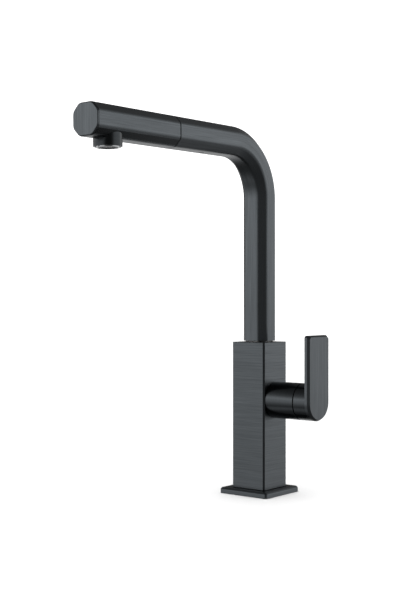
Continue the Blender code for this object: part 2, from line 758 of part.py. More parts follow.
def hose_fittings():
    ring(
        "hose_ferrule", HOSE_RADIUS + GAP, FERRULE_RADIUS, HEAD_START - 10 * MM, HEAD_START + 4.6 * MM,
        arm_frame, zinc, axis="Y", segments=32,
    )
    start = HEAD_START + 5.4 * MM
    nut = rod(
        "hose_nut", FERRULE_RADIUS + 2.2 * MM, start, start + 11 * MM, arm_frame, brass, axis="Y",
        segments=6,
    )
    way = rod("nut_way_cut", 3.5 * MM, start - MM, start + 12 * MM, arm_frame, axis="Y")
    socket = rod("nut_socket_cut", 5.3 * MM, start + 2.5 * MM, start + 12 * MM, arm_frame, axis="Y")
    cut(nut, way, socket)


def head_waterway():
    nipple_start = HEAD_START + 8.5 * MM
    body_start = HEAD_START + 17.5 * MM
    body_end = NOZZLE_S + WATERWAY_RADIUS
    profile = [
        (nipple_start, 0), (nipple_start, 5 * MM), (body_start, 5 * MM),
        (body_start, WATERWAY_RADIUS), (body_end, WATERWAY_RADIUS), (body_end, 0),
    ]
    body = turned("head_waterway", profile, arm_frame, polymer, axis="Y", segments=32)
    chamber_radius = AERATOR_BORE - 0.6 * MM
    chamber = turned(
        "waterway_chamber", screw_profile(chamber_radius, 11.8 * MM, 1 * MM), arm_frame, None,
        segments=32, up=-NOZZLE_S,
    )
    chamber_bore = turned(
        "chamber_bore_cut", screw_profile(chamber_radius - 2.6 * MM, 13 * MM, -3 * MM), arm_frame, None,
        up=-NOZZLE_S, segments=24,
    )
    bore = rod("waterway_bore_cut", 4 * MM, nipple_start - MM, NOZZLE_S, arm_frame, axis="Y")
    join(body, chamber)
    cut(body, bore, chamber_bore)
    ring(
        "check_valve", 2.2 * MM, 3.6 * MM, body_start, body_start + 12 * MM, arm_frame, acetal,
        axis="Y", segments=24,
    )


def aerator():
    bottom = NOZZLE_DROP + AERATOR_PROUD
    washer_top = 11.8 * MM + GAP
    washer_bottom = washer_top + 1 * MM
    ring(
        "aerator_washer", AERATOR_BORE - 3 * MM, AERATOR_BORE - GAP, -washer_bottom, -washer_top,
        arm_frame, rubber, segments=32, up=-NOZZLE_S,
    )
    ring(
        "aerator_ring", AERATOR_BORE, AERATOR_RADIUS, -bottom, -9.5 * MM, arm_frame, chrome,
        up=-NOZZLE_S,
    )
    insert = turned(
        "aerator_insert",
        screw_profile(AERATOR_BORE - GAP, bottom - 0.8 * MM, washer_bottom + GAP),
        arm_frame, polymer, segments=32, up=-NOZZLE_S,
    )
    for i in range(6):
        angle = i * pi / 3
        hole = turned(
            f"jet_{i}_cut", screw_profile(1.1 * MM, bottom, washer_bottom), arm_frame, None,
            segments=8, across=4.6 * MM * cos(angle), up=-NOZZLE_S + 4.6 * MM * sin(angle),
        )
        cut(insert, hole)


# --- Cartridge housing and cartridge ---


def cartridge_housing():
    profile = [
        (RECESS_FLOOR + GAP, 0),
        (RECESS_FLOOR + GAP, HOUSING_SPIGOT_RADIUS),
        (HOUSING_START, HOUSING_SPIGOT_RADIUS),
        (HOUSING_START, HANDLE_RADIUS),
        (HOUSING_END, HANDLE_RADIUS),
        (HOUSING_END, NUT_BORE),
        (PIVOT_X - 2 * MM, NUT_BORE),
        (PIVOT_X - 2 * MM, CHAMBER_RADIUS),
        (CHAMBER_FLOOR, CHAMBER_RADIUS),
        (CHAMBER_FLOOR, 0),
    ]
    housing = turned(
        "cartridge_housing", profile, handle_frame, steel, axis="X", segments=HUB_SEGMENTS
    )
    drill_ports(housing, RECESS_FLOOR, CHAMBER_FLOOR + MM)
    seal_start = CHAMBER_FLOOR + GAP
    seal = rod(
        "cartridge_base_seal", CARTRIDGE_BORE + MM, seal_start, seal_start + MM, handle_frame, rubber,
        axis="X", segments=28,
    )
    drill_ports(seal, seal_start - MM, seal_start + 2 * MM, extra=GAP)
    return seal_start + MM + GAP


def cartridge(shell_start):
    floor = shell_start + 2.4 * MM
    shell_end = PIVOT_X - 2.3 * MM
    profile = [
        (shell_start, 0), (shell_start, CARTRIDGE_RADIUS), (shell_end, CARTRIDGE_RADIUS),
        (shell_end, CARTRIDGE_BORE), (floor, CARTRIDGE_BORE), (floor, 0),
    ]
    shell = turned("cartridge_shell", profile, handle_frame, polymer, axis="X")
    drill_ports(shell, shell_start - MM, floor + MM)
    disc_start = floor + GAP
    disc_end = disc_start + 2.8 * MM
    fixed = rod(
        "fixed_ceramic_disc", CARTRIDGE_BORE - GAP, disc_start, disc_end, handle_frame, ceramic,
        axis="X", segments=28,
    )
    drill_ports(fixed, disc_start - MM, disc_end + MM)
    return disc_end + GAP


def moving_disc(start):
    radius = CARTRIDGE_BORE - 0.4 * MM - DISC_TRAVEL / 2
    centre = -DISC_TRAVEL / 2
    disc_end = start + 2.5 * MM
    disc = rod(
        "moving_ceramic_disc", radius, start, disc_end, handle_frame, ceramic, axis="X",
        segments=28, up=centre,
    )
    pocket = box(
        "disc_pocket_cut", (start - MM, -6.5 * MM, -7.6 * MM), (start + 1.2 * MM, 6.5 * MM, MM),
        handle_frame,
    )
    cut(disc, pocket)
    carrier_start = disc_end + GAP
    carrier_end = carrier_start + 2.8 * MM
    carrier = rod(
        "disc_carrier", radius, carrier_start, carrier_end, handle_frame, acetal, axis="X",
        segments=32, up=centre,
    )
    slot = box(
        "carrier_slot_cut", (carrier_start + 0.3 * MM, -2 * MM, -2.2 * MM),
        (carrier_end + MM, 2 * MM, 2.2 * MM), handle_frame,
    )
    cut(carrier, slot)
    return carrier_end


def cartridge_rotor(carrier_end):
    start = carrier_end + 0.6 * MM
    flange_end = start + 3.6 * MM
    end = PIVOT_X + 4 * MM
    flange = CARTRIDGE_BORE - 0.4 * MM
    neck = flange - 1.7 * MM
    profile = [
        (start, 0), (start, flange), (flange_end, flange), (flange_end, neck), (end, neck), (end, 0),
    ]
    rotor = turned("cartridge_rotor", profile, handle_frame, acetal, axis="X")
    cut(rotor, stem_slot(start - PIVOT_X - MM, end - PIVOT_X + MM))
    pin = PIN_DIAMETER / 2
    hole = rod("pin_hole_cut", pin + GAP, -neck - MM, neck + MM, lift_frame, axis="Y", segments=20)
    cut(rotor, hole)
    rod("stem_pivot_pin", pin, 0.6 * MM - neck, neck - 0.6 * MM, lift_frame, zinc, axis="Y",
        segments=20)
    nut_start = PIVOT_X - 1.7 * MM
    ring(
        "cartridge_nut", neck + GAP, NUT_BORE - GAP, nut_start, nut_start + 4.6 * MM, handle_frame,
        brass, axis="X",
    )


def stem_slot(back, front):
    """The space that the stem sweeps in the rotor as the lever lifts, with its clearance."""
    clear = STEM_WIDTH / 2 + GAP
    lean = tan(LIFT_ANGLE)
    swept = clear / cos(LIFT_ANGLE)
    outline = [
        (back, -clear),
        ((clear - swept) / lean, -clear),
        (front, -swept - front * lean),
        (front, clear),
        ((swept - clear) / lean, clear),
        (-3.2 * MM, swept + 3.2 * MM * lean),
        (back, swept + 3.2 * MM * lean + GAP),
    ]
    half = STEM_WIDTH / 2 + 0.2 * MM
    rings = [[Vector((x, y, z)) for x, z in outline] for y in (-half, half)]
    return add_object("stem_slot_cut", loft_mesh(rings), lift_frame)


def dome_ring():
    """Cover ring, part of a sphere about the lift pivot, which the hub slides over."""
    rim = HANDLE_RADIUS - MM
    skirt = NUT_BORE - GAP
    inner_sphere = DOME_SPHERE - 2 * MM
    profile = [(PIVOT_DEPTH + GAP, skirt), (PIVOT_DEPTH + GAP, rim)]
    profile += sphere_profile(DOME_SPHERE, rim, DOME_HOLE)
    profile += sphere_profile(inner_sphere, DOME_HOLE, skirt - 1.5 * MM)
    profile += [(3.4 * MM, skirt - 1.5 * MM), (3.4 * MM, skirt)]
    turned("dome_ring", profile, lift_frame, acetal, axis="X", segments=HUB_SEGMENTS)


def sphere_profile(radius, first, last, steps=3):
    """Points on a sphere about the pivot, from one distance off the axis to another."""
    places = [first + (last - first) * i / steps for i in range(steps + 1)]
    return [(sqrt(radius * radius - place * place), place) for place in places]


# --- Lever ---


def lever_outline(inset):
    """(across, up) points: a half circle about the hub's axis, with straight sides above it."""
    half = HANDLE_RADIUS - inset
    corner = LEVER_CORNER
    top = LEVER_REACH - inset
    points = arc(0, 0, half, pi, 2 * pi, HUB_SEGMENTS // 2)
    points += arc(half - corner, top - corner, corner, 0, pi / 2, 4)
    points += arc(-half + corner, top - corner, corner, pi / 2, pi, 4)
    return points


def lever_mesh():
    """Hub and plate in one: the plate's lower edge carries on from the hub's lower half."""
    mesh = bmesh.new()
    circle = arc(0, 0, HANDLE_RADIUS, pi, 3 * pi, HUB_SEGMENTS)[:-1]
    outline = lever_outline(0)
    back = [mesh.verts.new((HUB_START, u, v)) for u, v in circle]
    front = [mesh.verts.new((HUB_END, u, v)) for u, v in circle]
    shared = HUB_SEGMENTS // 2 + 1  # points of the half circle that both outlines start with
    plate = front[:shared] + [mesh.verts.new((HUB_END, u, v)) for u, v in outline[shared:]]
    count = len(circle)
    for i in range(count):
        j = (i + 1) % count
        mesh.faces.new((back[i], back[j], front[j], front[i]))
    mesh.faces.new(back)
    upper_arc = front[shared - 1:] + front[:1]
    mesh.faces.new(plate[shared:] + upper_arc[::-1])
    loops = [plate]
    for depth, inset in ((LEVER_FACE - LEVER_BEVEL, 0), (LEVER_FACE, LEVER_BEVEL)):
        loops.append([mesh.verts.new((depth, u, v)) for u, v in lever_outline(inset)])
    for first, second in zip(loops, loops[1:]):
        for i in range(len(first)):
            j = (i + 1) % len(first)
            mesh.faces.new((first[i], first[j], second[j], second[i]))
    mesh.faces.new(loops[-1])
    return mesh


def handle_lever():
    lever = add_object("handle_lever", lever_mesh(), lift_frame, steel)
    steps = 14
    cap = arc(0, 0, HUB_SPHERE, pi, 0, steps)
    profile = [(u, v if 0 < i < steps else 0) for i, (u, v) in enumerate(cap)]
    sphere = turned("hub_sphere_cut", profile, lift_frame, None, axis="X", segments=HUB_SEGMENTS)
    socket = STEM_WIDTH / 2 + GAP
    boss = rod("stem_boss", STEM_BOSS_RADIUS, 9 * MM, HUB_SPHERE + 0.8 * MM, lift_frame, axis="X")
    hole = box(
        "stem_socket_cut", (8 * MM, -socket, -socket), (STEM_END + GAP, socket, socket), lift_frame
    )
    screw_hole = turned(
        "grub_hole_cut", screw_profile(2.2 * MM, HANDLE_RADIUS + MM, STEM_WIDTH / 2), lift_frame, None,
        segments=16, across=GRUB_PLACE,
    )
    cut(lever, sphere)
    join(lever, boss)
    cut(lever, hole, screw_hole)
    grub = turned(
        "lever_grub_screw",
        screw_profile(1.9 * MM, STEM_WIDTH / 2 + 5 * MM, STEM_WIDTH / 2 + GAP), lift_frame, zinc,
        segments=16, across=GRUB_PLACE,
    )
    grub_socket = turned(
        "grub_socket_cut", screw_profile(MM, STEM_WIDTH / 2 + 6 * MM, STEM_WIDTH / 2 + 3 * MM),
        lift_frame, None, segments=6, across=GRUB_PLACE,
    )
    cut(grub, grub_socket)
    turned(
        "lever_screw_plug", screw_profile(1.9 * MM, HANDLE_RADIUS - 0.5 * MM, HANDLE_RADIUS - 4 * MM),
        lift_frame, rubber, segments=16, across=GRUB_PLACE,
    )
    cartridge_stem()


def cartridge_stem():
    """Square stem with a round-ended finger, which pushes the disc carrier."""
    half = STEM_WIDTH / 2
    finger = 1.5 * MM
    shoulder = -5 * MM
    tip = -10.4 * MM
    outline = [(STEM_END, -half), (STEM_END, half), (shoulder, half), (shoulder, finger)]
    outline += arc(tip + finger, 0, finger, pi / 2, 3 * pi / 2, 6)
    outline += [(shoulder, -finger), (shoulder, -half)]
    rings = [[Vector((x, y, z)) for x, z in outline] for y in (-half, half)]
    stem = add_object("cartridge_stem", loft_mesh(rings), lift_frame, zinc)
    side_width = 1.7 * MM
    for name, side in (("left", -1), ("right", 1)):
        low, high = sorted((side * side_width, side * (half + MM)))
        trim = box(f"finger_{name}_cut", (tip - MM, low, -half - MM), (shoulder, high, half + MM), lift_frame)
        cut(stem, trim)
    hole = rod(
        "stem_pin_hole_cut", PIN_DIAMETER / 2 + RUNNING, -half - MM, half + MM, lift_frame, axis="Y",
        segments=32,
    )
    cut(stem, hole)


base_plate()
mounting()
column_body()
valve_core()
supply_tails()
swivel()
swivel_sleeve()
spout_tube()
docking_sleeve()
hose_runs()
head_shell()
head_end_cap()
docking_spigot()
hose_fittings()
head_waterway()
aerator()
shell_start = cartridge_housing()
moving_start = cartridge(shell_start)
carrier_end = moving_disc(moving_start)
cartridge_rotor(carrier_end)
dome_ring()
handle_lever()
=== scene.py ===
"""Looks of the pull-out kitchen mixer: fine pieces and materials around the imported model.

Metres, +Z up. The spout reaches towards -Y and the lever is on the +X side. Lengths along the
spout's arm are measured from the end of its bend, and turned pieces are given as profiles of
(distance along the axis, radius).
"""

import json
from math import asin, atan2, ceil, cos, hypot, pi, radians, sin, sqrt

import bmesh
import bpy
from mathutils import Matrix, Vector


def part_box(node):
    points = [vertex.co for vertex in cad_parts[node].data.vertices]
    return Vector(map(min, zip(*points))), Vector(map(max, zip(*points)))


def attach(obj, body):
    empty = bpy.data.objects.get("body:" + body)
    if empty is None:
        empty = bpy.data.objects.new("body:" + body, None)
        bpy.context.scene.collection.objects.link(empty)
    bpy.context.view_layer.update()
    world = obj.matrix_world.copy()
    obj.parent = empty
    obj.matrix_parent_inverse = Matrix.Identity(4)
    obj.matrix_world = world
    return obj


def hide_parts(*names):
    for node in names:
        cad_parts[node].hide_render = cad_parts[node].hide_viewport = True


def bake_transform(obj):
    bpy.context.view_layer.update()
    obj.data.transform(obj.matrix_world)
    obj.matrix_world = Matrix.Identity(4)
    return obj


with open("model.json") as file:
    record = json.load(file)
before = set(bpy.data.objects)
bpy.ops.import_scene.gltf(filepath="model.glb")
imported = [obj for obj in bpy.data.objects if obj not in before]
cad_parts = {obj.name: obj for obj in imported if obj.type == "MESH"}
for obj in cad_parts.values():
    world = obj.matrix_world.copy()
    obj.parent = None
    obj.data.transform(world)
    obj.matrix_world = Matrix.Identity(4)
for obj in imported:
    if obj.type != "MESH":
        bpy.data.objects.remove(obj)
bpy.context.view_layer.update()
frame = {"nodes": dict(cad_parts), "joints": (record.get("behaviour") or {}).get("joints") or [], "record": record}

MM = 0.001
GAP = 0.3 * MM

# --- Sizes read from the frame ---

JOINTS = {joint["name"]: joint for joint in frame["joints"]}
PIVOT = Vector(JOINTS["flow_lift"]["pos_m"])
PLATE_LOW, PLATE_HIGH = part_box("base_plate")
COLUMN_LOW, COLUMN_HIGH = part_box("column_body")
SPOUT_LOW, SPOUT_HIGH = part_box("spout_tube")
HOUSING_LOW, HOUSING_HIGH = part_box("cartridge_housing")
LEVER_LOW, LEVER_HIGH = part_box("handle_lever")
SHANK_LOW, SHANK_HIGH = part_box("threaded_shank")
NUT_LOW, NUT_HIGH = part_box("shank_nut")
CHAMBER_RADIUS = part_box("cartridge_shell")[1].y + GAP
HOUSING_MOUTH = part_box("cartridge_nut")[1].y + GAP
HOSE_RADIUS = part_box("hose_riser_run")[1].x

# --- Sizes of the design that the boxes don't give. A name that ends in _S is a place on the arm.

PLATE_BEVEL = 1.6 * MM
PLATE_CORNER = 3 * MM
COLUMN_EDGE = 1.6 * MM
COLUMN_WALL = 2.4 * MM
SPOUT_CHAMFER = 7.5 * MM
SPOUT_WALL = 1.5 * MM
SECTION_CORNER = 5 * MM
SEAM_EDGE = 0.6 * MM
CAP_EDGE = 1.3 * MM
CAP_CORNER = 7 * MM
ARM_DROOP = radians(1)
BEND_RADIUS = 54 * MM
ARM_LENGTH = 89.4 * MM
HEAD_LENGTH = 109.4 * MM
HEAD_WALL = 1.8 * MM
CAP_THICKNESS = 1.6 * MM
NOZZLE_SETBACK = 81.7 * MM
NOZZLE_RADIUS = 12.9 * MM
NOZZLE_BORE = 11.3 * MM
NOZZLE_DROP = 21.3 * MM
AERATOR_BORE = 9 * MM
LEVER_THICKNESS = 5.4 * MM
LEVER_BEVEL = 1.7 * MM
LEVER_BEVEL_DEPTH = 2.6 * MM
LEVER_CORNER = 3 * MM
STEM_WIDTH = 7 * MM
STEM_BOSS_RADIUS = 5.9 * MM
SWIVEL_HOLE_RADIUS = 12.3 * MM
STOP_SCREW_HEIGHT = 127.3 * MM
DOCK_SCREW_SETBACK = 48.3 * MM
DOCK_LENGTH = 57 * MM
DOCK_SEAT_DEPTH = 37.5 * MM
SPIGOT_LENGTH = 32 * MM
SPIGOT_RADIUS = 9.5 * MM
SPIGOT_BORE = 7.3 * MM
SEAT_RADIUS = SPIGOT_RADIUS + 0.4 * MM
O_RING_GROOVE = SPIGOT_RADIUS - 1.3 * MM
O_RING_SETBACK = 8 * MM
O_RING_HALF = (SEAT_RADIUS - O_RING_GROOVE) / 2 - 0.25 * MM
FERRULE_WALL = 0.95 * MM
CRIMP_DEPTH = 0.45 * MM
GASKET_WIDTH = 4 * MM
SHANK_WALL = 1.6 * MM
THREAD_PITCH = 2 * MM
THREAD_DEPTH = 0.9 * MM
HOUSING_SPIGOT = 12.7 * MM
HOUSING_FLOOR = 4 * MM
WATER_HOLE = 6 * MM
GRUB_RADIUS = 1.9 * MM

SPOUT_WIDTH = SPOUT_HIGH.x - SPOUT_LOW.x
SPOUT_DEPTH = 2 * SPOUT_HIGH.y
RISER_BOTTOM = SPOUT_LOW.z
BEND_HEIGHT = SPOUT_HIGH.z - SPOUT_DEPTH / 2 - BEND_RADIUS
ARM_ORIGIN = Vector((
    0, -BEND_RADIUS * (1 + sin(ARM_DROOP)), BEND_HEIGHT + BEND_RADIUS * cos(ARM_DROOP)
))
ARM = Matrix.Translation(ARM_ORIGIN) @ Matrix.Rotation(ARM_DROOP, 4, "X")
HEAD_START = ARM_LENGTH + GAP
HEAD_END = ARM_LENGTH + HEAD_LENGTH
NOZZLE_S = ARM_LENGTH + NOZZLE_SETBACK
DOCK_SCREW_S = ARM_LENGTH - DOCK_SCREW_SETBACK
SPIGOT_S = ARM_LENGTH - SPIGOT_LENGTH
O_RING_S = SPIGOT_S + O_RING_SETBACK
AERATOR_BOTTOM = NOZZLE_DROP + 1 * MM
AERATOR_RADIUS = NOZZLE_BORE - GAP
HANDLE_RADIUS = HOUSING_HIGH.y
PIVOT_DEPTH = HOUSING_HIGH.x - PIVOT.x
HUB_START = LEVER_LOW.x - PIVOT.x
LEVER_FACE = LEVER_HIGH.x - PIVOT.x
HUB_END = LEVER_FACE - LEVER_THICKNESS
HUB_SPHERE = hypot(PIVOT_DEPTH, HANDLE_RADIUS) + GAP
DOME_SPHERE = HUB_SPHERE - 0.8 * MM
LIFT_ANGLE = radians(JOINTS["flow_lift"]["range_deg"][1])
DOME_HOLE = DOME_SPHERE * sin(asin(STEM_BOSS_RADIUS / DOME_SPHERE) + LIFT_ANGLE) + 0.4 * MM
STEM_END = HUB_END + 1 * MM
GRUB_PLACE = STEM_END - 2.1 * MM
AT_HANDLE = Matrix.Translation((0, 0, PIVOT.z))
AT_PIVOT = Matrix.Translation(PIVOT)


# --- Mesh helpers ---


def along(axis, distance, across, up):
    """A point at a distance along an axis. 'Y' runs towards -Y, the way the spout reaches."""
    if axis == "X":
        return Vector((distance, across, up))
    if axis == "Y":
        return Vector((across, -distance, up))
    return Vector((across, up, distance))


def make_piece(name, mesh_data, place=None):
    bmesh.ops.recalc_face_normals(mesh_data, faces=mesh_data.faces)
    mesh = bpy.data.meshes.new(name)
    mesh_data.to_mesh(mesh)
    mesh_data.free()
    if place is not None:
        mesh.transform(place)
    made = bpy.data.objects.new(name, mesh)
    bpy.context.scene.collection.objects.link(made)
    return made


def loft(name, rings, closed=False, place=None):
    """Skin through rings of points, all of one length. Closed joins the last ring to the first."""
    mesh = bmesh.new()
    loops = [[mesh.verts.new(point) for point in ring] for ring in rings]
    pairs = list(zip(loops, loops[1:]))
    if closed:
        pairs.append((loops[-1], loops[0]))
    else:
        mesh.faces.new(loops[0])
        mesh.faces.new(loops[-1])
    count = len(loops[0])
    for first, second in pairs:
        for i in range(count):
            j = (i + 1) % count
            mesh.faces.new((first[i], first[j], second[j], second[i]))
    return make_piece(name, mesh, place)


def turned(name, profile, axis="Z", segments=96, across=0.0, up=0.0, place=None):
    """Turn a profile about an axis. A closed profile off the axis makes a ring."""
    mesh = bmesh.new()
    rings = []
    for distance, radius in profile:
        steps = segments if radius > 0 else 1
        angles = [2 * pi * i / segments for i in range(steps)]
        rings.append([
            mesh.verts.new(along(axis, distance, across + radius * cos(a), up + radius * sin(a)))
            for a in angles
        ])
    for k, first in enumerate(rings):
        second = rings[(k + 1) % len(rings)]
        if len(first) == 1 and len(second) == 1:
            continue
        for i in range(segments):
            j = (i + 1) % segments
            corners = [first[i % len(first)], first[j % len(first)]]
            corners += [second[j % len(second)], second[i % len(second)]]
            mesh.faces.new(list(dict.fromkeys(corners)))
    return make_piece(name, mesh, place)


def rod(name, radius, start, end, axis="Z", segments=48, across=0.0, up=0.0, place=None):
    profile = [(start, 0), (start, radius), (end, radius), (end, 0)]
    return turned(name, profile, axis, segments, across, up, place)


def ring(name, inner, outer, start, end, axis="Z", segments=96, across=0.0, up=0.0, place=None):
    profile = [(start, inner), (start, outer), (end, outer), (end, inner)]
    return turned(name, profile, axis, segments, across, up, place)


def depths(radius, below, above):
    """A rod along Z, from below to above its frame's origin, both given as depths."""
    return [(-below, 0), (-below, radius), (-above, radius), (-above, 0)]


def rounded(corners, radius, steps=6):
    """An outline's corners, each replaced by an arc that meets both its sides."""
    outline = []
    for k, corner in enumerate(corners):
        here = Vector(corner)
        back = (Vector(corners[k - 1]) - here).normalized()
        ahead = (Vector(corners[(k + 1) % len(corners)]) - here).normalized()
        half = back.angle(ahead) / 2
        middle = here + (back + ahead).normalized() * radius / sin(half)
        start = here + back * radius * cos(half) / sin(half) - middle
        turn = (pi - 2 * half) * (1 if back.x * ahead.y - back.y * ahead.x < 0 else -1)
        for i in range(steps + 1):
            angle = turn * i / steps
            outline.append((
                middle.x + start.x * cos(angle) - start.y * sin(angle),
                middle.y + start.x * sin(angle) + start.y * cos(angle),
            ))
    return outline


def square(width, corner, steps=8):
    half = width / 2
    return rounded([(half, half), (-half, half), (-half, -half), (half, -half)], corner, steps)


def section(inset=0.0, corner=SECTION_CORNER):
    """The spout's chamfered rectangle with softened corners, every side moved in by the inset."""
    half_u = SPOUT_WIDTH / 2 - inset
    half_v = SPOUT_DEPTH / 2 - inset
    chamfer = SPOUT_CHAMFER - inset * (2 - sqrt(2))
    corner = max(corner - inset, 0.5 * MM)
    corners = []
    for side_u, side_v in ((1, 1), (-1, 1), (-1, -1), (1, -1)):
        pair = [
            (side_u * half_u, side_v * (half_v - chamfer)),
            (side_u * (half_u - chamfer), side_v * half_v),
        ]
        corners += pair if side_u == side_v else pair[::-1]
    return rounded(corners, corner)


def ring_at(outline, axis, distance):
    return [along(axis, distance, u, v) for u, v in outline]


def prism(name, outline, start, end, axis="Z", place=None):
    return loft(name, [ring_at(outline, axis, start), ring_at(outline, axis, end)], place=place)


def block(name, low, high, place=None):
    outline = [(low[0], low[1]), (high[0], low[1]), (high[0], high[1]), (low[0], high[1])]
    return prism(name, outline, low[2], high[2], place=place)


def apply_modifiers(piece):
    graph = bpy.context.evaluated_depsgraph_get()
    done = bpy.data.meshes.new_from_object(
        piece.evaluated_get(graph), preserve_all_data_layers=True, depsgraph=graph
    )
    piece.modifiers.clear()
    piece.data = done


def combine(target, others, operation):
    for other in others:
        modifier = target.modifiers.new(other.name, "BOOLEAN")
        modifier.operation = operation
        modifier.solver = "EXACT"
        modifier.object = other
    apply_modifiers(target)
    for other in others:
        bpy.data.objects.remove(other)


def cut(target, *cutters):
    combine(target, cutters, "DIFFERENCE")


def join(target, *others):
    combine(target, others, "UNION")


def soften(piece, width, segments=3, angle=radians(28)):
    """Round the sharp edges over, and keep the flat faces looking flat."""
    bevel = piece.modifiers.new("edges", "BEVEL")
    bevel.width = width
    bevel.segments = segments
    bevel.limit_method = "ANGLE"
    bevel.angle_limit = angle
    bevel.use_clamp_overlap = True
    flats = piece.modifiers.new("flats", "WEIGHTED_NORMAL")
    flats.keep_sharp = False
    piece.data.shade_smooth()
    apply_modifiers(piece)
    return piece


def smooth(piece, crease):
    """Shade smooth, except at edges sharper than the crease angle, in degrees."""
    piece.data.shade_smooth()
    piece.data.set_sharp_from_angle(angle=radians(crease))
    return piece


# --- Brushing ---
# Each follower takes a place and a normal. It returns how far along the grain the place is, the
# way the grain runs there, and the transform that lays a bent or round surface out straight.

AS_IS = Matrix.Identity(4)


def grain_straight(direction):
    """Grain along one direction, on every face that it doesn't pierce."""
    way = Vector(direction).normalized()

    def follow(place, normal):
        lean = way - normal * way.dot(normal)
        other = Vector((way.z, way.x, way.y))
        run = lean if lean.length > 0.3 else other - normal * other.dot(normal)
        return place.dot(run.normalized()), run.normalized(), AS_IS

    return follow


def grain_level(place, normal):
    """Level grain round an upright body, and across its top."""
    if abs(normal.z) > 0.8:
        return place.x, Vector((1, 0, 0)), AS_IS
    run = Vector((0, 1, 0)) if abs(normal.x) > abs(normal.y) else Vector((1, 0, 0))
    return place.dot(run), run, AS_IS


def grain_round(axis_point, axis):
    """Grain left by turning on a lathe, in circles about an axis."""
    centre = Vector(axis_point)
    spin = Vector(axis).normalized()
    first = spin.orthogonal().normalized()
    second = spin.cross(first)
    centred = Matrix.Translation(-centre)

    def follow(place, normal):
        out = place - centre
        out -= spin * out.dot(spin)
        angle = atan2(out.dot(second), out.dot(first))
        run = spin.cross(out)
        way = run.normalized() if run.length > 0 else first
        return angle * HANDLE_RADIUS, way, centred

    return follow


def grain_spout(place, normal):
    """Grain along the spout, up the riser, round the bend and out along the arm."""
    centre = Vector((0, -BEND_RADIUS, BEND_HEIGHT))
    angle = atan2(place.z - centre.z, place.y - centre.y)
    angle = min(max(angle, 0), pi / 2 + ARM_DROOP)
    back = Matrix.Rotation(-angle, 4, "X")
    straight = Matrix.Translation(centre) @ back @ Matrix.Translation(-centre)
    run = (straight @ place).z + angle * BEND_RADIUS
    return run, back.inverted() @ Vector((0, 0, 1)), straight


def brush(piece, follow):
    """Write the grain's run and the way across it on each face corner, for the brushed metals."""
    mesh = piece.data
    runs = mesh.attributes.new("grain", "FLOAT_VECTOR", "CORNER")
    ways = mesh.attributes.new("across", "FLOAT_VECTOR", "CORNER")
    for face in mesh.polygons:
        normal = face.normal
        for corner in face.loop_indices:
            place = mesh.vertices[mesh.loops[corner].vertex_index].co
            run, way, straight = follow(place, normal)
            side = normal.cross(way)
            side = side.normalized() if side.length > 0 else way
            turn = straight.to_3x3()
            flat = straight @ place
            flat -= turn @ way * flat.dot(turn @ way)
            runs.data[corner].vector = (run, flat.dot(turn @ side), flat.dot(turn @ normal))
            ways.data[corner].vector = side
    return piece


# --- Materials ---


def add(tree, kind, inputs=None, **settings):
    """A shader node. Each input is a value or the socket that feeds it."""
    made = tree.nodes.new("ShaderNode" + kind)
    for key, value in settings.items():
        setattr(made, key, value)
    for key, value in (inputs or {}).items():
        socket = made.inputs[key]
        if isinstance(value, bpy.types.NodeSocket):
            tree.links.new(value, socket)
        else:
            socket.default_value = value
    return made


def calculate(tree, operation, *values):
    inputs = dict(enumerate(values))
    return add(tree, "Math", inputs, operation=operation).outputs["Value"]


def new_material(name):
    made = bpy.data.materials.new(name)
    made.use_nodes = True
    return made, made.node_tree, made.node_tree.nodes["Principled BSDF"]


def spread(tree, source, low, high, start=0.3, end=0.7):
    """Map a noise value onto a range."""
    inputs = {"Value": source, "From Min": start, "From Max": end, "To Min": low, "To Max": high}
    return add(tree, "MapRange", inputs).outputs["Result"]


def scaled(colour, share):
    return tuple(channel * share for channel in colour)


def shade(tree, shader, amount, colour, dark, light):
    """Base colour from the dark share of a colour to its light share, by an amount from 0 to 1."""
    ramp = add(tree, "Mix", {"Factor": amount}, data_type="RGBA")
    ramp.inputs[6].default_value = (*scaled(colour, dark), 1)
    ramp.inputs[7].default_value = (*scaled(colour, light), 1)
    tree.links.new(ramp.outputs[2], shader.inputs["Base Color"])


def noise_of(tree, vector, scale, detail=4.0, rough=0.55):
    inputs = {"Vector": vector, "Scale": scale, "Detail": detail, "Roughness": rough}
    return add(tree, "TexNoise", inputs).outputs["Fac"]


def product(tree, vector, factors):
    inputs = {0: vector, 1: factors}
    return add(tree, "VectorMath", inputs, operation="MULTIPLY").outputs["Vector"]


def bump(tree, shader, height, distance, strength=1.0):
    made = add(tree, "Bump", {"Height": height, "Distance": distance, "Strength": strength})
    tree.links.new(made.outputs["Normal"], shader.inputs["Normal"])


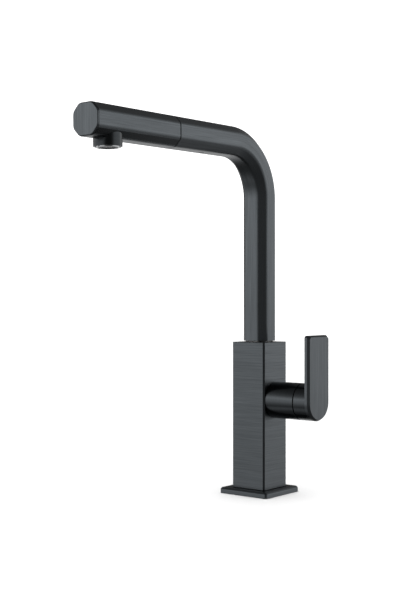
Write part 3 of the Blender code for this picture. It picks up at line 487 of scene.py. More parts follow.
def brushed(name, colour, rough, contrast=0.16, anisotropy=0.5):
    """Metal brushed along the piece's grain: long fine streaks in tone, gloss and height."""
    made, tree, shader = new_material(name)
    grain = add(tree, "Attribute", attribute_name="grain").outputs["Vector"]
    streaks = noise_of(tree, product(tree, grain, (22, 2200, 2200)), 1, 4, 0.6)
    broad = noise_of(tree, product(tree, grain, (10, 520, 520)), 1, 2)
    clouds = noise_of(tree, add(tree, "TexCoord").outputs["Object"], 22, 2)
    tone = calculate(tree, "MULTIPLY", streaks, 0.82)
    tone = calculate(tree, "MULTIPLY_ADD", broad, 0.1, tone)
    tone = calculate(tree, "MULTIPLY_ADD", clouds, 0.08, tone)
    share = spread(tree, tone, 0, 1, 0.38, 0.62)
    shade(tree, shader, share, colour, 1 - contrast, 1 + contrast)
    tree.links.new(spread(tree, tone, rough + 0.06, rough - 0.05), shader.inputs["Roughness"])
    across = add(tree, "Attribute", attribute_name="across").outputs["Vector"]
    turned_way = add(
        tree, "VectorTransform", {"Vector": across}, vector_type="VECTOR", convert_from="OBJECT",
        convert_to="WORLD",
    )
    tree.links.new(turned_way.outputs["Vector"], shader.inputs["Tangent"])
    shader.inputs["Metallic"].default_value = 1
    shader.inputs["Anisotropic"].default_value = anisotropy
    bump(tree, shader, streaks, 0.02 * MM, 0.5)
    return made


def cast_metal(name, colour, rough, scale=900, contrast=0.12, marks=0.05):
    """Machined or plated metal, with fine marks from making and handling."""
    made, tree, shader = new_material(name)
    place = add(tree, "TexCoord").outputs["Object"]
    fine = noise_of(tree, place, scale, 5)
    wide = noise_of(tree, place, scale / 20, 3)
    share = spread(tree, calculate(tree, "MULTIPLY", fine, wide), 0, 1, 0.12, 0.38)
    shade(tree, shader, share, colour, 1 - contrast, 1 + contrast)
    tree.links.new(spread(tree, fine, rough - marks, rough + marks), shader.inputs["Roughness"])
    shader.inputs["Metallic"].default_value = 1
    bump(tree, shader, fine, 0.02 * MM, 0.3)
    return made


def moulded(name, colour, rough, grain_size=2600, contrast=0.1, depth=0.03 * MM):
    """Plastic, rubber or ceramic with a fine moulded or ground surface."""
    made, tree, shader = new_material(name)
    place = add(tree, "TexCoord").outputs["Object"]
    fine = noise_of(tree, place, grain_size, 3)
    wide = noise_of(tree, place, grain_size / 45, 3)
    shade(tree, shader, wide, colour, 1 - contrast, 1 + contrast)
    tree.links.new(spread(tree, fine, rough - 0.07, rough + 0.07), shader.inputs["Roughness"])
    bump(tree, shader, fine, depth, 0.4)
    return made


def woven(name, colour):
    """Braided nylon: bands along all three axes, which cross on the hose as strands do."""
    made, tree, shader = new_material(name)
    place = add(tree, "TexCoord").outputs["Object"]
    inputs = {"Vector": place, "Scale": 155, "Distortion": 0.2}
    strands = [
        add(tree, "TexWave", inputs, bands_direction=axis, wave_profile="SIN").outputs["Fac"]
        for axis in ("X", "Y", "Z")
    ]
    crossing = calculate(tree, "ADD", strands[2], calculate(tree, "MULTIPLY", strands[0], strands[1]))
    height = calculate(tree, "MULTIPLY_ADD", noise_of(tree, place, 3000, 3), 0.25, crossing)
    shade(tree, shader, spread(tree, height, 0, 1, 0.2, 1.5), colour, 0.35, 1.5)
    tree.links.new(spread(tree, height, 0.68, 0.42, 0.2, 1.5), shader.inputs["Roughness"])
    bump(tree, shader, height, 0.3 * MM, 0.7)
    return made


GUNMETAL = (0.1, 0.11, 0.118)
MATERIALS = {
    "gunmetal_steel": brushed("brushed_gunmetal", GUNMETAL, 0.34),
    # The nozzle's gunmetal, at 0.36 of the colour: partly its own darker satin finish, partly painted shade that
    # darkens the nozzle's reflections.
    "nozzle_gunmetal": brushed("satin_shaded_gunmetal", scaled(GUNMETAL, 0.36), 0.2, 0.06, 0.3),
    # A darker copy of the gunmetal, at 0.66 of its colour and brushed in circles, for the housing and the lever's
    # hub.
    "turned_gunmetal": brushed("turned_gunmetal", scaled(GUNMETAL, 0.66), 0.22, 0.07, 0.6),
    "plain_steel": cast_metal("turned_steel", (0.5, 0.5, 0.5), 0.3),
    "machined_brass": cast_metal("machined_brass", (0.62, 0.47, 0.22), 0.32),
    "copper_tube": cast_metal("drawn_copper", (0.62, 0.31, 0.2), 0.34, 300, 0.25, 0.1),
    "zinc_plated_steel": cast_metal("zinc_plate", (0.55, 0.56, 0.57), 0.33),
    "chrome_ring": cast_metal("aerator_chrome", (0.42, 0.43, 0.44), 0.14, 400, 0.04, 0.03),
    "black_rubber": moulded("black_rubber", (0.02, 0.02, 0.02), 0.72),
    "black_acetal": moulded("black_acetal", (0.03, 0.03, 0.032), 0.42),
    "white_polymer": moulded("white_polymer", (0.62, 0.62, 0.6), 0.42),
    "alumina_ceramic": moulded("lapped_ceramic", (0.78, 0.78, 0.75), 0.2, 4000, 0.04, 0.01 * MM),
    "braided_hose": woven("braided_nylon", (0.09, 0.09, 0.095)),
    "jet_insert": moulded("grey_silicone", (0.045, 0.047, 0.05), 0.5),
}
SLOT_OF = {entry["node"]: entry["material_slot"] for entry in frame["record"]["subparts"]}
BODY_OF = {
    node: body for body, nodes in frame["record"]["behaviour"]["bodies"].items() for node in nodes
}


def finish_piece(piece, node, look=None):
    """Give a piece its finish, put it on its node's body and let it stand for that node."""
    slot = SLOT_OF[node]
    piece.data.materials.clear()
    piece.data.materials.append(MATERIALS[look or slot])
    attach(piece, BODY_OF[node])
    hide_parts(node)


# --- Base plate and mounting ---


def deck_plate():
    width = PLATE_HIGH.x - PLATE_LOW.x
    full = square(width, PLATE_CORNER)
    top = square(width - 2 * PLATE_BEVEL, PLATE_CORNER - PLATE_BEVEL)
    shoulder = PLATE_HIGH.z - PLATE_BEVEL
    rings = [ring_at(full, "Z", 0), ring_at(full, "Z", shoulder), ring_at(top, "Z", PLATE_HIGH.z)]
    plate = loft("deck_plate", rings)
    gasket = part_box("base_gasket")[1]
    hole = rod("hole", SHANK_HIGH.x + GAP, -MM, PLATE_HIGH.z + MM, segments=96)
    inner = gasket.x - GASKET_WIDTH - GAP
    groove = ring("groove", inner, gasket.x + GAP, -MM, gasket.z + GAP)
    cut(plate, hole, groove)
    soften(plate, 0.4 * MM)
    finish_piece(brush(plate, grain_level), "base_plate")


def rounded_ring(name, node, inner, outer, low, high, edge):
    """A ring with its edges rounded over, which stands for a node of that size."""
    corners = [(low, inner), (low, outer), (high, outer), (high, inner)]
    finish_piece(turned(name, rounded(corners, edge, 4)), node)


def deck_mounting():
    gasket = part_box("base_gasket")[1]
    inner = gasket.x - GASKET_WIDTH
    rounded_ring("sealing_ring", "base_gasket", inner, gasket.x, 0, gasket.z, 0.6 * MM)
    bore = SHANK_HIGH.x + GAP
    for name, node, edge in (
        ("soft_washer", "rubber_washer", 0.7 * MM),
        ("steel_washer", "metal_washer", 0.3 * MM),
    ):
        low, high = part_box(node)
        rounded_ring(name, node, bore, high.x, low.z, high.z, edge)


def hex_nut():
    """A hexagon nut whose corners are turned down at both ends."""
    nut = rod("hex_nut", NUT_HIGH.x, NUT_LOW.z, NUT_HIGH.z, segments=6)
    crown_height = 2 * MM
    flat = NUT_HIGH.x * cos(pi / 6)
    crown = turned("crown", [
        (NUT_LOW.z, 0), (NUT_LOW.z, flat), (NUT_LOW.z + crown_height, NUT_HIGH.x),
        (NUT_HIGH.z - crown_height, NUT_HIGH.x), (NUT_HIGH.z, flat), (NUT_HIGH.z, 0),
    ])
    combine(nut, [crown], "INTERSECT")
    cut(nut, rod("hole", SHANK_HIGH.x + GAP, NUT_LOW.z - MM, NUT_HIGH.z + MM, segments=96))
    finish_piece(soften(nut, 0.25 * MM, 2), "shank_nut")


def circle(radius, z, segments):
    angles = [2 * pi * i / segments for i in range(segments)]
    return [Vector((radius * cos(a), radius * sin(a), z)) for a in angles]


def thread_radius(z, share):
    """The thread's radius at a height, and at a share of the way round. It fades out at both ends,
    and the lower end is chamfered."""
    fade_in = 2 * MM
    fade_out = 8 * MM
    chamfer = 0.5 * MM
    fade = min(1, (z - SHANK_LOW.z) / fade_in, (SHANK_HIGH.z - z) / fade_out)
    depth = THREAD_DEPTH * max(0, fade) * abs(2 * ((z / THREAD_PITCH - share) % 1) - 1)
    return SHANK_HIGH.x - depth - chamfer * max(0, 1 - (z - SHANK_LOW.z) / MM)


def screw_thread():
    low = SHANK_LOW.z
    high = SHANK_HIGH.z
    rows = ceil((high - low) / (THREAD_PITCH / 8))
    columns = 72
    outside = []
    for k in range(rows + 1):
        z = low + (high - low) * k / rows
        ways = circle(1, 0, columns)
        radii = [thread_radius(z, i / columns) for i in range(columns)]
        outside.append([Vector((r * way.x, r * way.y, z)) for r, way in zip(radii, ways)])
    inside = [circle(SHANK_HIGH.x - SHANK_WALL, z, columns) for z in (high, low)]
    shank = loft("screw_shank", outside + inside, closed=True)
    finish_piece(smooth(shank, 50), "threaded_shank")


def copper_tails():
    for name, node in (
        ("hot_pipe", "hot_supply_tail"),
        ("cold_pipe", "cold_supply_tail"),
        ("mixed_pipe", "mixed_outlet_tail"),
    ):
        low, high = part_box(node)
        centre = (low + high) / 2
        outer = (high.x - low.x) / 2
        corners = [(low.z, outer - MM), (low.z, outer), (high.z, outer), (high.z, outer - MM)]
        pipe = turned(
            name, rounded(corners, 0.3 * MM, 3), segments=48, across=centre.x, up=centre.y
        )
        finish_piece(smooth(pipe, 50), node)


# --- Column ---


def square_column():
    outer = square(COLUMN_HIGH.x * 2, COLUMN_EDGE, steps=1)
    body = prism("square_column", outer, COLUMN_LOW.z, COLUMN_HIGH.z)
    half = COLUMN_HIGH.x - COLUMN_WALL
    ceiling = COLUMN_HIGH.z - COLUMN_WALL
    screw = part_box("swivel_stop_screw")[1]
    cut(
        body,
        block("hollow", (-half, -half, 0), (half, half, ceiling)),
        rod("lid_hole", SWIVEL_HOLE_RADIUS, ceiling - MM, COLUMN_HIGH.z + MM, segments=96),
        rod("side_hole", HOUSING_SPIGOT + GAP, half - MM, COLUMN_HIGH.x + MM, axis="X",
            segments=96, place=AT_HANDLE),
        rod("screw_hole", screw.x + 2 * GAP, -COLUMN_HIGH.x - MM, -half + MM, axis="Y",
            up=STOP_SCREW_HEIGHT),
    )
    soften(body, 0.35 * MM)
    finish_piece(brush(body, grain_level), "column_body")


def hex_screw(name, node, radius, start, end, axis, place, across=0.0, up=0.0):
    """A grub screw with its hexagon socket in the end where it starts."""
    chamfer = 0.35 * MM
    socket_depth = 2 * MM
    screw = turned(name, [
        (start, 0), (start, radius - chamfer), (start + chamfer, radius), (end - chamfer, radius),
        (end, radius - chamfer), (end, 0),
    ], axis, 48, across, up, place)
    socket = rod(
        "socket", radius / 2, start - MM, start + socket_depth, axis, 6, across, up, place
    )
    cut(screw, socket)
    finish_piece(smooth(screw, 35), node)


def screws():
    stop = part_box("swivel_stop_screw")
    hex_screw(
        "stop_screw", "swivel_stop_screw", stop[1].x, -stop[1].y, -stop[0].y, "Y", None,
        up=STOP_SCREW_HEIGHT,
    )
    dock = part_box("docking_sleeve_screw")
    hold = 4.2 * MM
    hex_screw(
        "dock_screw", "docking_sleeve_screw", dock[1].x, GAP - SPOUT_DEPTH / 2,
        hold + SPOUT_WALL - SPOUT_DEPTH / 2, "Z", ARM, up=-DOCK_SCREW_S,
    )


# --- Spout ---


def spout_stations():
    """Places along the spout's line, from the riser's foot to the arm's mouth."""
    steps = 56
    stations = [Matrix.Translation((0, 0, RISER_BOTTOM))]
    centre = Matrix.Translation((0, -BEND_RADIUS, BEND_HEIGHT))
    for i in range(steps + 1):
        turn = Matrix.Rotation((pi / 2 + ARM_DROOP) * i / steps, 4, "X")
        stations.append(centre @ turn @ Matrix.Translation((0, BEND_RADIUS, 0)))
    stations.append(stations[-1] @ Matrix.Translation((0, 0, ARM_LENGTH)))
    return stations


def spout_pipe():
    stations = spout_stations()
    mouth = stations[-1]
    stations[-1] = mouth @ Matrix.Translation((0, 0, -SEAM_EDGE))
    outer = [[at @ Vector((u, v, 0)) for u, v in section()] for at in stations]
    outer.append([mouth @ Vector((u, v, 0)) for u, v in section(SEAM_EDGE)])
    stations[-1] = mouth
    inner = [[at @ Vector((u, v, 0)) for u, v in section(SPOUT_WALL)] for at in stations]
    pipe = loft("spout_pipe", outer + inner[::-1], closed=True)
    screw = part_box("docking_sleeve_screw")[1]
    cut(pipe, turned(
        "screw_hole", depths(screw.x + GAP, SPOUT_DEPTH, SPOUT_DEPTH / 4), up=-DOCK_SCREW_S,
        place=ARM, segments=48,
    ))
    soften(pipe, 0.3 * MM)
    finish_piece(brush(pipe, grain_spout), "spout_tube")


def swivel_ring():
    low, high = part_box("slip_ring")
    width = 1.5 * MM
    rounded_ring("swivel_ring", "slip_ring", high.x - width, high.x, low.z, high.z, 0.2 * MM)


def dock_sleeve():
    front = ARM_LENGTH - 0.4 * MM
    back = front - DOCK_LENGTH
    sleeve = prism("dock_sleeve", section(SPOUT_WALL + GAP), back, front, "Y", ARM)
    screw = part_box("docking_sleeve_screw")[1]
    cut(
        sleeve,
        rod("guide", HOSE_RADIUS + 1.5 * MM, back - MM, front, "Y", 96, place=ARM),
        rod("seat", SEAT_RADIUS, front - DOCK_SEAT_DEPTH, front + MM, "Y", 96, place=ARM),
        turned("thread", depths(screw.x + GAP, SPOUT_DEPTH, 8 * MM), up=-DOCK_SCREW_S, place=ARM,
               segments=32),
    )
    soften(sleeve, 0.35 * MM)
    finish_piece(sleeve, "docking_sleeve")


# --- Spray head ---


def spray_shell():
    end = HEAD_END - CAP_THICKNESS - GAP
    outer = [ring_at(section(SEAM_EDGE), "Y", HEAD_START)]
    outer += [ring_at(section(), "Y", s) for s in (HEAD_START + SEAM_EDGE, end)]
    inner = [ring_at(section(HEAD_WALL), "Y", s) for s in (end, HEAD_START)]
    shell = loft("spray_shell", outer + inner, closed=True, place=ARM)
    top = SPOUT_DEPTH / 2 - (NOZZLE_RADIUS - SPOUT_WIDTH / 2 + SPOUT_CHAMFER) - MM
    boss = turned(
        "boss", depths(NOZZLE_RADIUS, NOZZLE_DROP, top), up=-NOZZLE_S, place=ARM, segments=128
    )
    bore = turned(
        "bore", depths(NOZZLE_BORE, NOZZLE_DROP + MM, 0), up=-NOZZLE_S, place=ARM, segments=128
    )
    join(shell, boss)
    cut(shell, bore)
    finish_piece(soften(shell, 0.4 * MM), "head_shell")
    brush_shell(shell)


def brush_shell(shell):
    """Brush the shell along the arm and its nozzle round, and give the nozzle a darker gunmetal: partly its own
    satin finish, partly painted shade.
    """
    to_arm = ARM.inverted()
    nozzle = ARM @ Vector((0, -NOZZLE_S, 0))
    circles = grain_round(nozzle, (0, 0, 1))

    def on_nozzle(place):
        at = to_arm @ place
        round_it = hypot(at.x, at.y + NOZZLE_S) < NOZZLE_RADIUS + 0.3 * MM
        return round_it and at.z < SPOUT_CHAMFER - SPOUT_DEPTH / 2

    def follow(place, normal):
        on_round = on_nozzle(place) and abs(normal.z) < 0.5
        return circles(place, normal) if on_round else grain_spout(place, normal)

    brush(shell, follow)
    # The nozzle's faces take the darker gunmetal, which carries painted shade as well as its satin finish.
    shell.data.materials.append(MATERIALS["nozzle_gunmetal"])
    for face in shell.data.polygons:
        if on_nozzle(face.center) and abs(face.normal.z) < 0.95:
            face.material_index = 1


def spray_cap():
    plug = 6 * MM
    shoulder = HEAD_END - CAP_THICKNESS
    rings = [ring_at(section(HEAD_WALL + GAP), "Y", s) for s in (shoulder - plug, shoulder)]
    outline = section(corner=CAP_CORNER)
    rings += [ring_at(outline, "Y", s) for s in (shoulder, HEAD_END - CAP_EDGE)]
    for turn in (pi / 6, pi / 3, pi / 2):
        drop = CAP_EDGE * (1 - cos(turn))
        outline = section(drop, CAP_CORNER)
        rings.append(ring_at(outline, "Y", HEAD_END - CAP_EDGE * (1 - sin(turn))))
    cap = loft("spray_cap", rings, place=ARM)
    soften(cap, 0.15 * MM, 2)
    finish_piece(brush(cap, grain_straight((0, 0, 1))), "head_end_cap")


def aerator_trim():
    """The bright ring inside the nozzle, with six notches in its edge."""
    top = 9.5 * MM
    notch = 0.8 * MM
    notch_depth = 0.7 * MM
    corners = [
        (-AERATOR_BOTTOM, AERATOR_BORE + 0.5 * MM), (-AERATOR_BOTTOM, AERATOR_RADIUS),
        (-top, AERATOR_RADIUS), (-top, AERATOR_BORE), (-AERATOR_BOTTOM + 0.8 * MM, AERATOR_BORE),
    ]
    trim = turned("aerator_trim", rounded(corners, 0.25 * MM, 3), up=-NOZZLE_S, place=ARM)
    notches = []
    for i in range(6):
        angle = i * pi / 3 + pi / 6
        notches.append(turned(
            f"notch_{i}", depths(notch, AERATOR_BOTTOM + MM, AERATOR_BOTTOM - notch_depth),
            segments=20, across=AERATOR_RADIUS * cos(angle),
            up=AERATOR_RADIUS * sin(angle) - NOZZLE_S, place=ARM,
        ))
    cut(trim, *notches)
    finish_piece(smooth(trim, 35), "aerator_ring")


def jet_disc():
    """The grey insert inside the bright ring, with rows of water holes in a hexagon."""
    recess = 0.4 * MM
    jet = 0.55 * MM
    pitch = 2.1 * MM
    face = AERATOR_BOTTOM - recess
    rim = AERATOR_BORE - GAP
    low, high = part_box("aerator_insert")
    top = AERATOR_BOTTOM - (high.z - low.z)
    disc = turned("jet_disc", [
        (-face + 0.5 * MM, 0), (-face + 0.5 * MM, rim - 1.6 * MM), (-face, rim - 1.1 * MM),
        (-face, rim - 0.3 * MM), (-face + 0.3 * MM, rim), (-top, rim), (-top, 0),
    ], up=-NOZZLE_S, place=ARM)
    jets = []
    for row in range(-3, 4):
        count = 7 - abs(row)
        for k in range(count):
            jets.append(turned(
                f"jet_{row}_{k}", depths(jet, face + MM, top - MM), segments=12,
                across=(k - (count - 1) / 2) * pitch,
                up=row * pitch * sqrt(3) / 2 - NOZZLE_S, place=ARM,
            ))
    cut(disc, *jets)
    finish_piece(smooth(disc, 35), "aerator_insert", "jet_insert")


def dock_spigot():
    """The hollow spigot behind the head, which slides into the dock."""
    groove = O_RING_HALF + GAP
    flange = SPOUT_DEPTH / 2 - HEAD_WALL - GAP
    flange_start = HEAD_START + 1.2 * MM
    flange_end = HEAD_START + 5 * MM
    corners = [
        (SPIGOT_S, SPIGOT_BORE), (SPIGOT_S, SPIGOT_RADIUS - 0.8 * MM),
        (SPIGOT_S + 1.2 * MM, SPIGOT_RADIUS), (O_RING_S - groove, SPIGOT_RADIUS),
        (O_RING_S - groove, O_RING_GROOVE), (O_RING_S + groove, O_RING_GROOVE),
        (O_RING_S + groove, SPIGOT_RADIUS), (flange_start, SPIGOT_RADIUS),
        (flange_start, flange), (flange_end, flange), (flange_end, SPIGOT_BORE),
    ]
    body = turned("dock_spigot", rounded(corners, 0.2 * MM, 3), "Y", place=ARM)
    finish_piece(smooth(body, 40), "docking_spigot")


def dock_seal():
    middle = (O_RING_GROOVE + SEAT_RADIUS) / 2
    angles = [2 * pi * i / 16 for i in range(16)]
    profile = [(O_RING_S + O_RING_HALF * sin(a), middle + O_RING_HALF * cos(a)) for a in angles]
    seal = turned("dock_seal", profile, "Y", place=ARM)
    seal.data.shade_smooth()
    finish_piece(seal, "docking_o_ring")


def crimped_ferrule():
    """The sleeve on the hose's end, with three crimps pressed in."""
    start = HEAD_START - 10 * MM
    end = HEAD_START + 4.6 * MM
    first_crimp = 2.5 * MM
    crimp_pitch = 2.6 * MM
    inner = HOSE_RADIUS + GAP
    outer = inner + FERRULE_WALL
    corners = [(start, inner), (start, outer)]
    for k in range(3):
        crimp = start + first_crimp + crimp_pitch * k
        corners += [
            (crimp, outer), (crimp + 0.4 * MM, outer - CRIMP_DEPTH),
            (crimp + 1.2 * MM, outer - CRIMP_DEPTH), (crimp + 1.6 * MM, outer),
        ]
    corners += [(end, outer), (end, inner)]
    ferrule = turned("crimped_ferrule", rounded(corners, 0.12 * MM, 2), "Y", place=ARM)
    finish_piece(smooth(ferrule, 40), "hose_ferrule")


# --- Hose ---


def tube(name, points, radius, segments=40):
    """A round tube along a line of points that lie in the plane of the spout."""
    rings = []
    for k, point in enumerate(points):
        ahead = points[min(k + 1, len(points) - 1)]
        behind = points[max(k - 1, 0)]
        way = (ahead - behind).normalized()
        side = Vector((0, -1, 0)) if abs(way.x) > abs(way.y) and way.z < 0.9 else Vector((1, 0, 0))
        side = (side - way * side.dot(way)).normalized()
        other = way.cross(side)
        rings.append([
            point + (side * cos(2 * pi * i / segments) + other * sin(2 * pi * i / segments)) * radius
            for i in range(segments)
        ])
    return smooth(loft(name, rings), 60)


def on_arm(distance):
    return ARM @ Vector((0, -distance, 0))


def head_run_ends():
    """Where the hose's last run starts and ends on the arm, as its box gives them."""
    low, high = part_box("hose_head_run")
    lean = HOSE_RADIUS * sin(ARM_DROOP)
    start = (ARM_ORIGIN.y - high.y) / cos(ARM_DROOP) + lean
    end = (ARM_ORIGIN.y - low.y) / cos(ARM_DROOP) - lean
    return start, end


def lower_hose():
    """The run through the shank, which eases over to the column's axis."""
    low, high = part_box("hose_shank_run")
    offset = low.x + HOSE_RADIUS
    ease = 44.7 * MM
    steps = 60
    points = []
    for i in range(steps + 1):
        z = low.z + (high.z - low.z) * i / steps
        share = min(max(1 - (high.z - z) / ease, 0), 1)
        points.append(Vector((offset * (1 - share * share * (3 - 2 * share)), 0, z)))
    finish_piece(tube("lower_hose", points, HOSE_RADIUS), "hose_shank_run")


def riser_hose():
    """The run up the riser, round the bend and into the arm."""
    steps = 32
    points = [Vector((0, 0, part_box("hose_riser_run")[0].z)), Vector((0, 0, BEND_HEIGHT - MM))]
    for i in range(steps + 1):
        angle = (pi / 2 + ARM_DROOP) * i / steps
        points.append(Vector((
            0, -BEND_RADIUS * (1 - cos(angle)), BEND_HEIGHT + BEND_RADIUS * sin(angle)
        )))
    points.append(on_arm(head_run_ends()[0] - GAP))
    finish_piece(tube("riser_hose", points, HOSE_RADIUS), "hose_riser_run")


def drawn_hose():
    """The last run, which is drawn out of the arm with the spray head."""
    start, end = head_run_ends()
    steps = 160
    points = [on_arm(start + (end - start) * i / steps) for i in range(steps + 1)]
    drawn = tube("drawn_hose", points, HOSE_RADIUS)
    drawn.data.materials.append(MATERIALS["braided_hose"])
    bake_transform(drawn)
    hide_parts("hose_head_run")


# --- Handle ---


def valve_housing():
    start = HOUSING_LOW.x
    flange = COLUMN_HIGH.x + GAP
    floor = flange + HOUSING_FLOOR
    thread = PIVOT.x - 2 * MM
    end = HOUSING_HIGH.x
    corners = [
        (start, HOUSING_SPIGOT), (flange, HOUSING_SPIGOT), (flange, HANDLE_RADIUS),
        (end, HANDLE_RADIUS), (end, HOUSING_MOUTH), (thread, HOUSING_MOUTH),
        (thread, CHAMBER_RADIUS), (floor, CHAMBER_RADIUS), (floor, WATER_HOLE), (start, WATER_HOLE),
    ]
    housing = turned("valve_housing", rounded(corners, 0.35 * MM, 4), "X", 128, place=AT_HANDLE)
    inset = 0.1 * MM
    base = rod(
        "floor", WATER_HOLE + 0.2 * MM, start + inset, floor - inset, "X", 64, place=AT_HANDLE
    )
    join(housing, base)
    brush(smooth(housing, 40), grain_round(PIVOT, (1, 0, 0)))
    finish_piece(housing, "cartridge_housing", "turned_gunmetal")


def sphere_line(radius, first, last, steps=10):
    """Points on a sphere about the pivot, from one distance off the axis to another."""
    places = [first + (last - first) * i / steps for i in range(steps + 1)]
    return [(sqrt(radius * radius - place * place), place) for place in places]


def groove_ring():
    rim = HANDLE_RADIUS - MM
    skirt = HOUSING_MOUTH - GAP
    inside = skirt - 1.5 * MM
    skirt_end = 3.4 * MM
    profile = [(PIVOT_DEPTH + GAP, skirt), (PIVOT_DEPTH + GAP, rim)]
    profile += sphere_line(DOME_SPHERE, rim, DOME_HOLE)
    profile += sphere_line(DOME_SPHERE - 2 * MM, DOME_HOLE, inside)
    profile += [(skirt_end, inside), (skirt_end, skirt)]
    dome = turned("groove_ring", profile, "X", place=AT_PIVOT)
    finish_piece(smooth(dome, 35), "dome_ring")


def lever_outline(inset, segments):
    """(across, up) points: a half circle about the hub's axis, with straight sides above it."""
    half = HANDLE_RADIUS - inset
    corner = LEVER_CORNER
    top = LEVER_HIGH.z - PIVOT.z - inset
    points = [
        (half * cos(pi + pi * i / segments), half * sin(pi + pi * i / segments))
        for i in range(segments + 1)
    ]
    steps = 8
    for side, start in ((1, 0), (-1, pi / 2)):
        for i in range(steps + 1):
            angle = start + pi / 2 * i / steps
            points.append((
                side * (half - corner) + corner * cos(angle), top - corner + corner * sin(angle)
            ))
    return points


def lever_blank():
    """Hub and plate in one: the plate's lower edge carries on from the hub's lower half."""
    segments = 64
    mesh = bmesh.new()
    circle = [
        (HANDLE_RADIUS * cos(pi + pi * i / segments), HANDLE_RADIUS * sin(pi + pi * i / segments))
        for i in range(2 * segments)
    ]
    outline = lever_outline(0, segments)
    shared = segments + 1  # points of the half circle that both outlines start with
    back = [mesh.verts.new((HUB_START, u, v)) for u, v in circle]
    front = [mesh.verts.new((HUB_END, u, v)) for u, v in circle]
    plate = front[:shared] + [mesh.verts.new((HUB_END, u, v)) for u, v in outline[shared:]]
    count = len(circle)
    for i in range(count):
        j = (i + 1) % count
        mesh.faces.new((back[i], back[j], front[j], front[i]))
    mesh.faces.new(back)
    upper_arc = front[shared - 1:] + front[:1]
    mesh.faces.new(plate[shared:] + upper_arc[::-1])
    loops = [plate]
    for depth, inset in ((LEVER_FACE - LEVER_BEVEL_DEPTH, 0), (LEVER_FACE, LEVER_BEVEL)):
        points = lever_outline(inset, segments)
        loops.append([mesh.verts.new((depth, u, v)) for u, v in points])
    for first, second in zip(loops, loops[1:]):
        for i in range(len(first)):
            j = (i + 1) % len(first)
            mesh.faces.new((first[i], first[j], second[j], second[i]))
    mesh.faces.new(loops[-1])
    return make_piece("lever_handle", mesh, AT_PIVOT)


def lever_handle():
    steps = 32
    angles = [pi * i / steps for i in range(1, steps)]
    sphere = [(-HUB_SPHERE * cos(a), HUB_SPHERE * sin(a)) for a in angles]
    profile = [(-HUB_SPHERE, 0), *sphere, (HUB_SPHERE, 0)]
    socket = STEM_WIDTH / 2 + GAP
    lever = lever_blank()
    cut(lever, turned("hollow", profile, "X", 128, place=AT_PIVOT))
    join(lever, rod("boss", STEM_BOSS_RADIUS, 9 * MM, HUB_SPHERE + 0.8 * MM, "X", place=AT_PIVOT))
    cut(
        lever,
        block("socket", (8 * MM, -socket, -socket), (STEM_END + GAP, socket, socket), AT_PIVOT),
        turned("grub_hole", depths(GRUB_RADIUS + GAP, HANDLE_RADIUS + MM, STEM_WIDTH / 2),
               segments=40, across=GRUB_PLACE, place=AT_PIVOT),
    )
    finish_piece(soften(lever, 0.25 * MM), "handle_lever")
    brush_lever(lever)


def brush_lever(lever):
    """Brush the plate upright and the hub round, and give the hub the housing's finish."""
    circles = grain_round(PIVOT, (1, 0, 0))
    upright = grain_straight((0, 0, 1))
    hub_end = PIVOT.x + HUB_END

    def on_hub(place, normal):
        return place.x < hub_end + 0.2 * MM and abs(normal.x) < 0.7

    def follow(place, normal):
        return circles(place, normal) if on_hub(place, normal) else upright(place, normal)

    brush(lever, follow)
    lever.data.materials.append(MATERIALS["turned_gunmetal"])
    for face in lever.data.polygons:
        if on_hub(face.center, face.normal):
            face.material_index = 1


def lever_screws():
    """The grub screw that holds the lever on its stem, and the plug below it."""
    hex_screw(
        "lever_screw", "lever_grub_screw", GRUB_RADIUS, -(STEM_WIDTH / 2 + 5 * MM),
        -(STEM_WIDTH / 2 + GAP), "Z", AT_PIVOT, across=GRUB_PLACE,
    )
    chamfer = 0.4 * MM
    bottom = HANDLE_RADIUS - 0.5 * MM
    top = bottom - 3.5 * MM
    plug = turned("screw_cover", [
        (-bottom, 0), (-bottom, GRUB_RADIUS - chamfer), (-bottom + chamfer, GRUB_RADIUS),
        (-top, GRUB_RADIUS), (-top, 0),
    ], segments=40, across=GRUB_PLACE, place=AT_PIVOT)
    finish_piece(smooth(plug, 50), "lever_screw_plug")


def dress_frame():
    """The nodes that stay as they are get the material of their slot."""
    for node, thing in frame["nodes"].items():
        if not thing.hide_render:
            thing.data.materials.clear()
            thing.data.materials.append(MATERIALS[SLOT_OF[node]])


# --- Studio ---

# (place, brightness) stops for what metals reflect. WALL_SIDES goes by how squarely a ray faces the
# two walls, WALL_HEIGHTS by how steeply it rises: a low band, a dark one, then the wall.
WALL_FACING = (0.63, 0.78, 0)
GLOW_FACING = (-0.63, 0.76, -0.16)
WALL_SIDES = ((-1, 0), (0.3, 0), (0.5, 0.15), (0.68, 0.75), (0.85, 1), (1, 1.05))
WALL_HEIGHTS = (
    (-1, 0.1), (-0.75, 0.12), (-0.66, 0.45), (-0.58, 0.45), (-0.46, 0.1), (-0.3, 0.35),
    (-0.17, 0.62), (-0.05, 0.93), (0.1, 1.08), (0.22, 1.5), (0.45, 0.4), (0.7, 0.1), (0.85, 0.1),
)
ROOM_BRIGHTNESS = 0.11
PLAIN_BRIGHTNESS = 1.5
WHITE = (1, 1, 1, 1)


def camera():
    data = bpy.data.cameras.new("camera")
    data.lens = 64.1
    data.sensor_width = 36
    data.clip_start = 0.02
    made = bpy.data.objects.new("camera", data)
    made.location = (0.651, -0.901, 0.1987)
    made.rotation_euler = (pi / 2, 0, radians(39))
    bpy.context.scene.collection.objects.link(made)
    bpy.context.scene.camera = made


def floor():
    half = 4
    corners = [(half, half, 0), (-half, half, 0), (-half, -half, 0), (half, -half, 0)]
    mesh = bpy.data.meshes.new("floor")
    mesh.from_pydata(corners, [], [(0, 1, 2, 3)])
    made = bpy.data.objects.new("floor", mesh)
    pale, _, shader = new_material("pale_floor")
    shader.inputs["Base Color"].default_value = (0.9, 0.9, 0.9, 1)
    shader.inputs["Roughness"].default_value = 0.8
    mesh.materials.append(pale)
    made.visible_glossy = False
    bpy.context.scene.collection.objects.link(made)


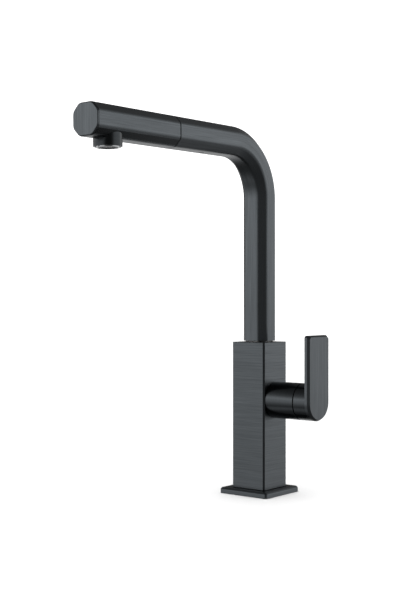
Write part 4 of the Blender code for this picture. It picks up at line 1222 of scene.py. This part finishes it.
def brightness_curve(tree, source, stops):
    """Straight lines through (place, value) stops, for places from -1 to 1 and values to 2."""
    ramp = add(tree, "ValToRGB", {"Fac": spread(tree, source, 0, 1, -1, 1)})
    points = ramp.color_ramp.elements
    ramp.color_ramp.interpolation = "LINEAR"
    while len(points) < len(stops):
        points.new(0.5)
    for point, (place, value) in zip(points, stops):
        point.position = (place + 1) / 2
        point.color = (value / 2, value / 2, value / 2, 1)
    return calculate(tree, "MULTIPLY", ramp.outputs["Color"], 2)


def facing(tree, way, direction):
    """The cosine of the angle between a ray and a direction."""
    inputs = {0: way, 1: direction}
    return add(tree, "VectorMath", inputs, operation="DOT_PRODUCT").outputs["Value"]


def room_light(tree):
    """A dim room with two bright walls, one left of the camera and one beyond the tap on the
    right, and a low glow behind it."""
    way = add(tree, "TexCoord").outputs["Generated"]
    height = add(tree, "SeparateXYZ", {"Vector": way}).outputs["Z"]
    either_wall = calculate(tree, "ABSOLUTE", facing(tree, way, WALL_FACING))
    sides = brightness_curve(tree, either_wall, WALL_SIDES)
    walls = calculate(tree, "MULTIPLY", sides, brightness_curve(tree, height, WALL_HEIGHTS))
    behind = spread(tree, facing(tree, way, GLOW_FACING), 0, 0.75, 0.75, 0.95)
    below = spread(tree, height, 1, 0, -0.1, 0.02)
    glow = calculate(tree, "MULTIPLY", behind, below)
    return calculate(tree, "ADD", calculate(tree, "ADD", walls, glow), ROOM_BRIGHTNESS)


def sky():
    """Pale to the eye and to matt surfaces. Metals reflect a room of their own."""
    world = bpy.data.worlds.new("studio")
    bpy.context.scene.world = world
    world.use_nodes = True
    tree = world.node_tree
    tree.nodes.clear()
    room = add(tree, "Background", {"Color": WHITE, "Strength": room_light(tree)})
    plain = add(tree, "Background", {"Color": WHITE, "Strength": PLAIN_BRIGHTNESS})
    rays = add(tree, "LightPath").outputs
    sees_plain = calculate(tree, "MAXIMUM", rays["Is Camera Ray"], rays["Is Diffuse Ray"])
    inputs = {0: sees_plain, 1: room.outputs[0], 2: plain.outputs[0]}
    mixed = add(tree, "MixShader", inputs)
    add(tree, "OutputWorld", {"Surface": mixed.outputs[0]})


camera()
floor()
sky()
bpy.context.scene.view_settings.view_transform = "Standard"

deck_plate()
deck_mounting()
hex_nut()
screw_thread()
copper_tails()
square_column()
screws()
swivel_ring()
spout_pipe()
dock_sleeve()
spray_shell()
spray_cap()
aerator_trim()
jet_disc()
dock_spigot()
dock_seal()
crimped_ferrule()
lower_hose()
riser_hose()
drawn_hose()
valve_housing()
groove_ring()
lever_handle()
lever_screws()
dress_frame()
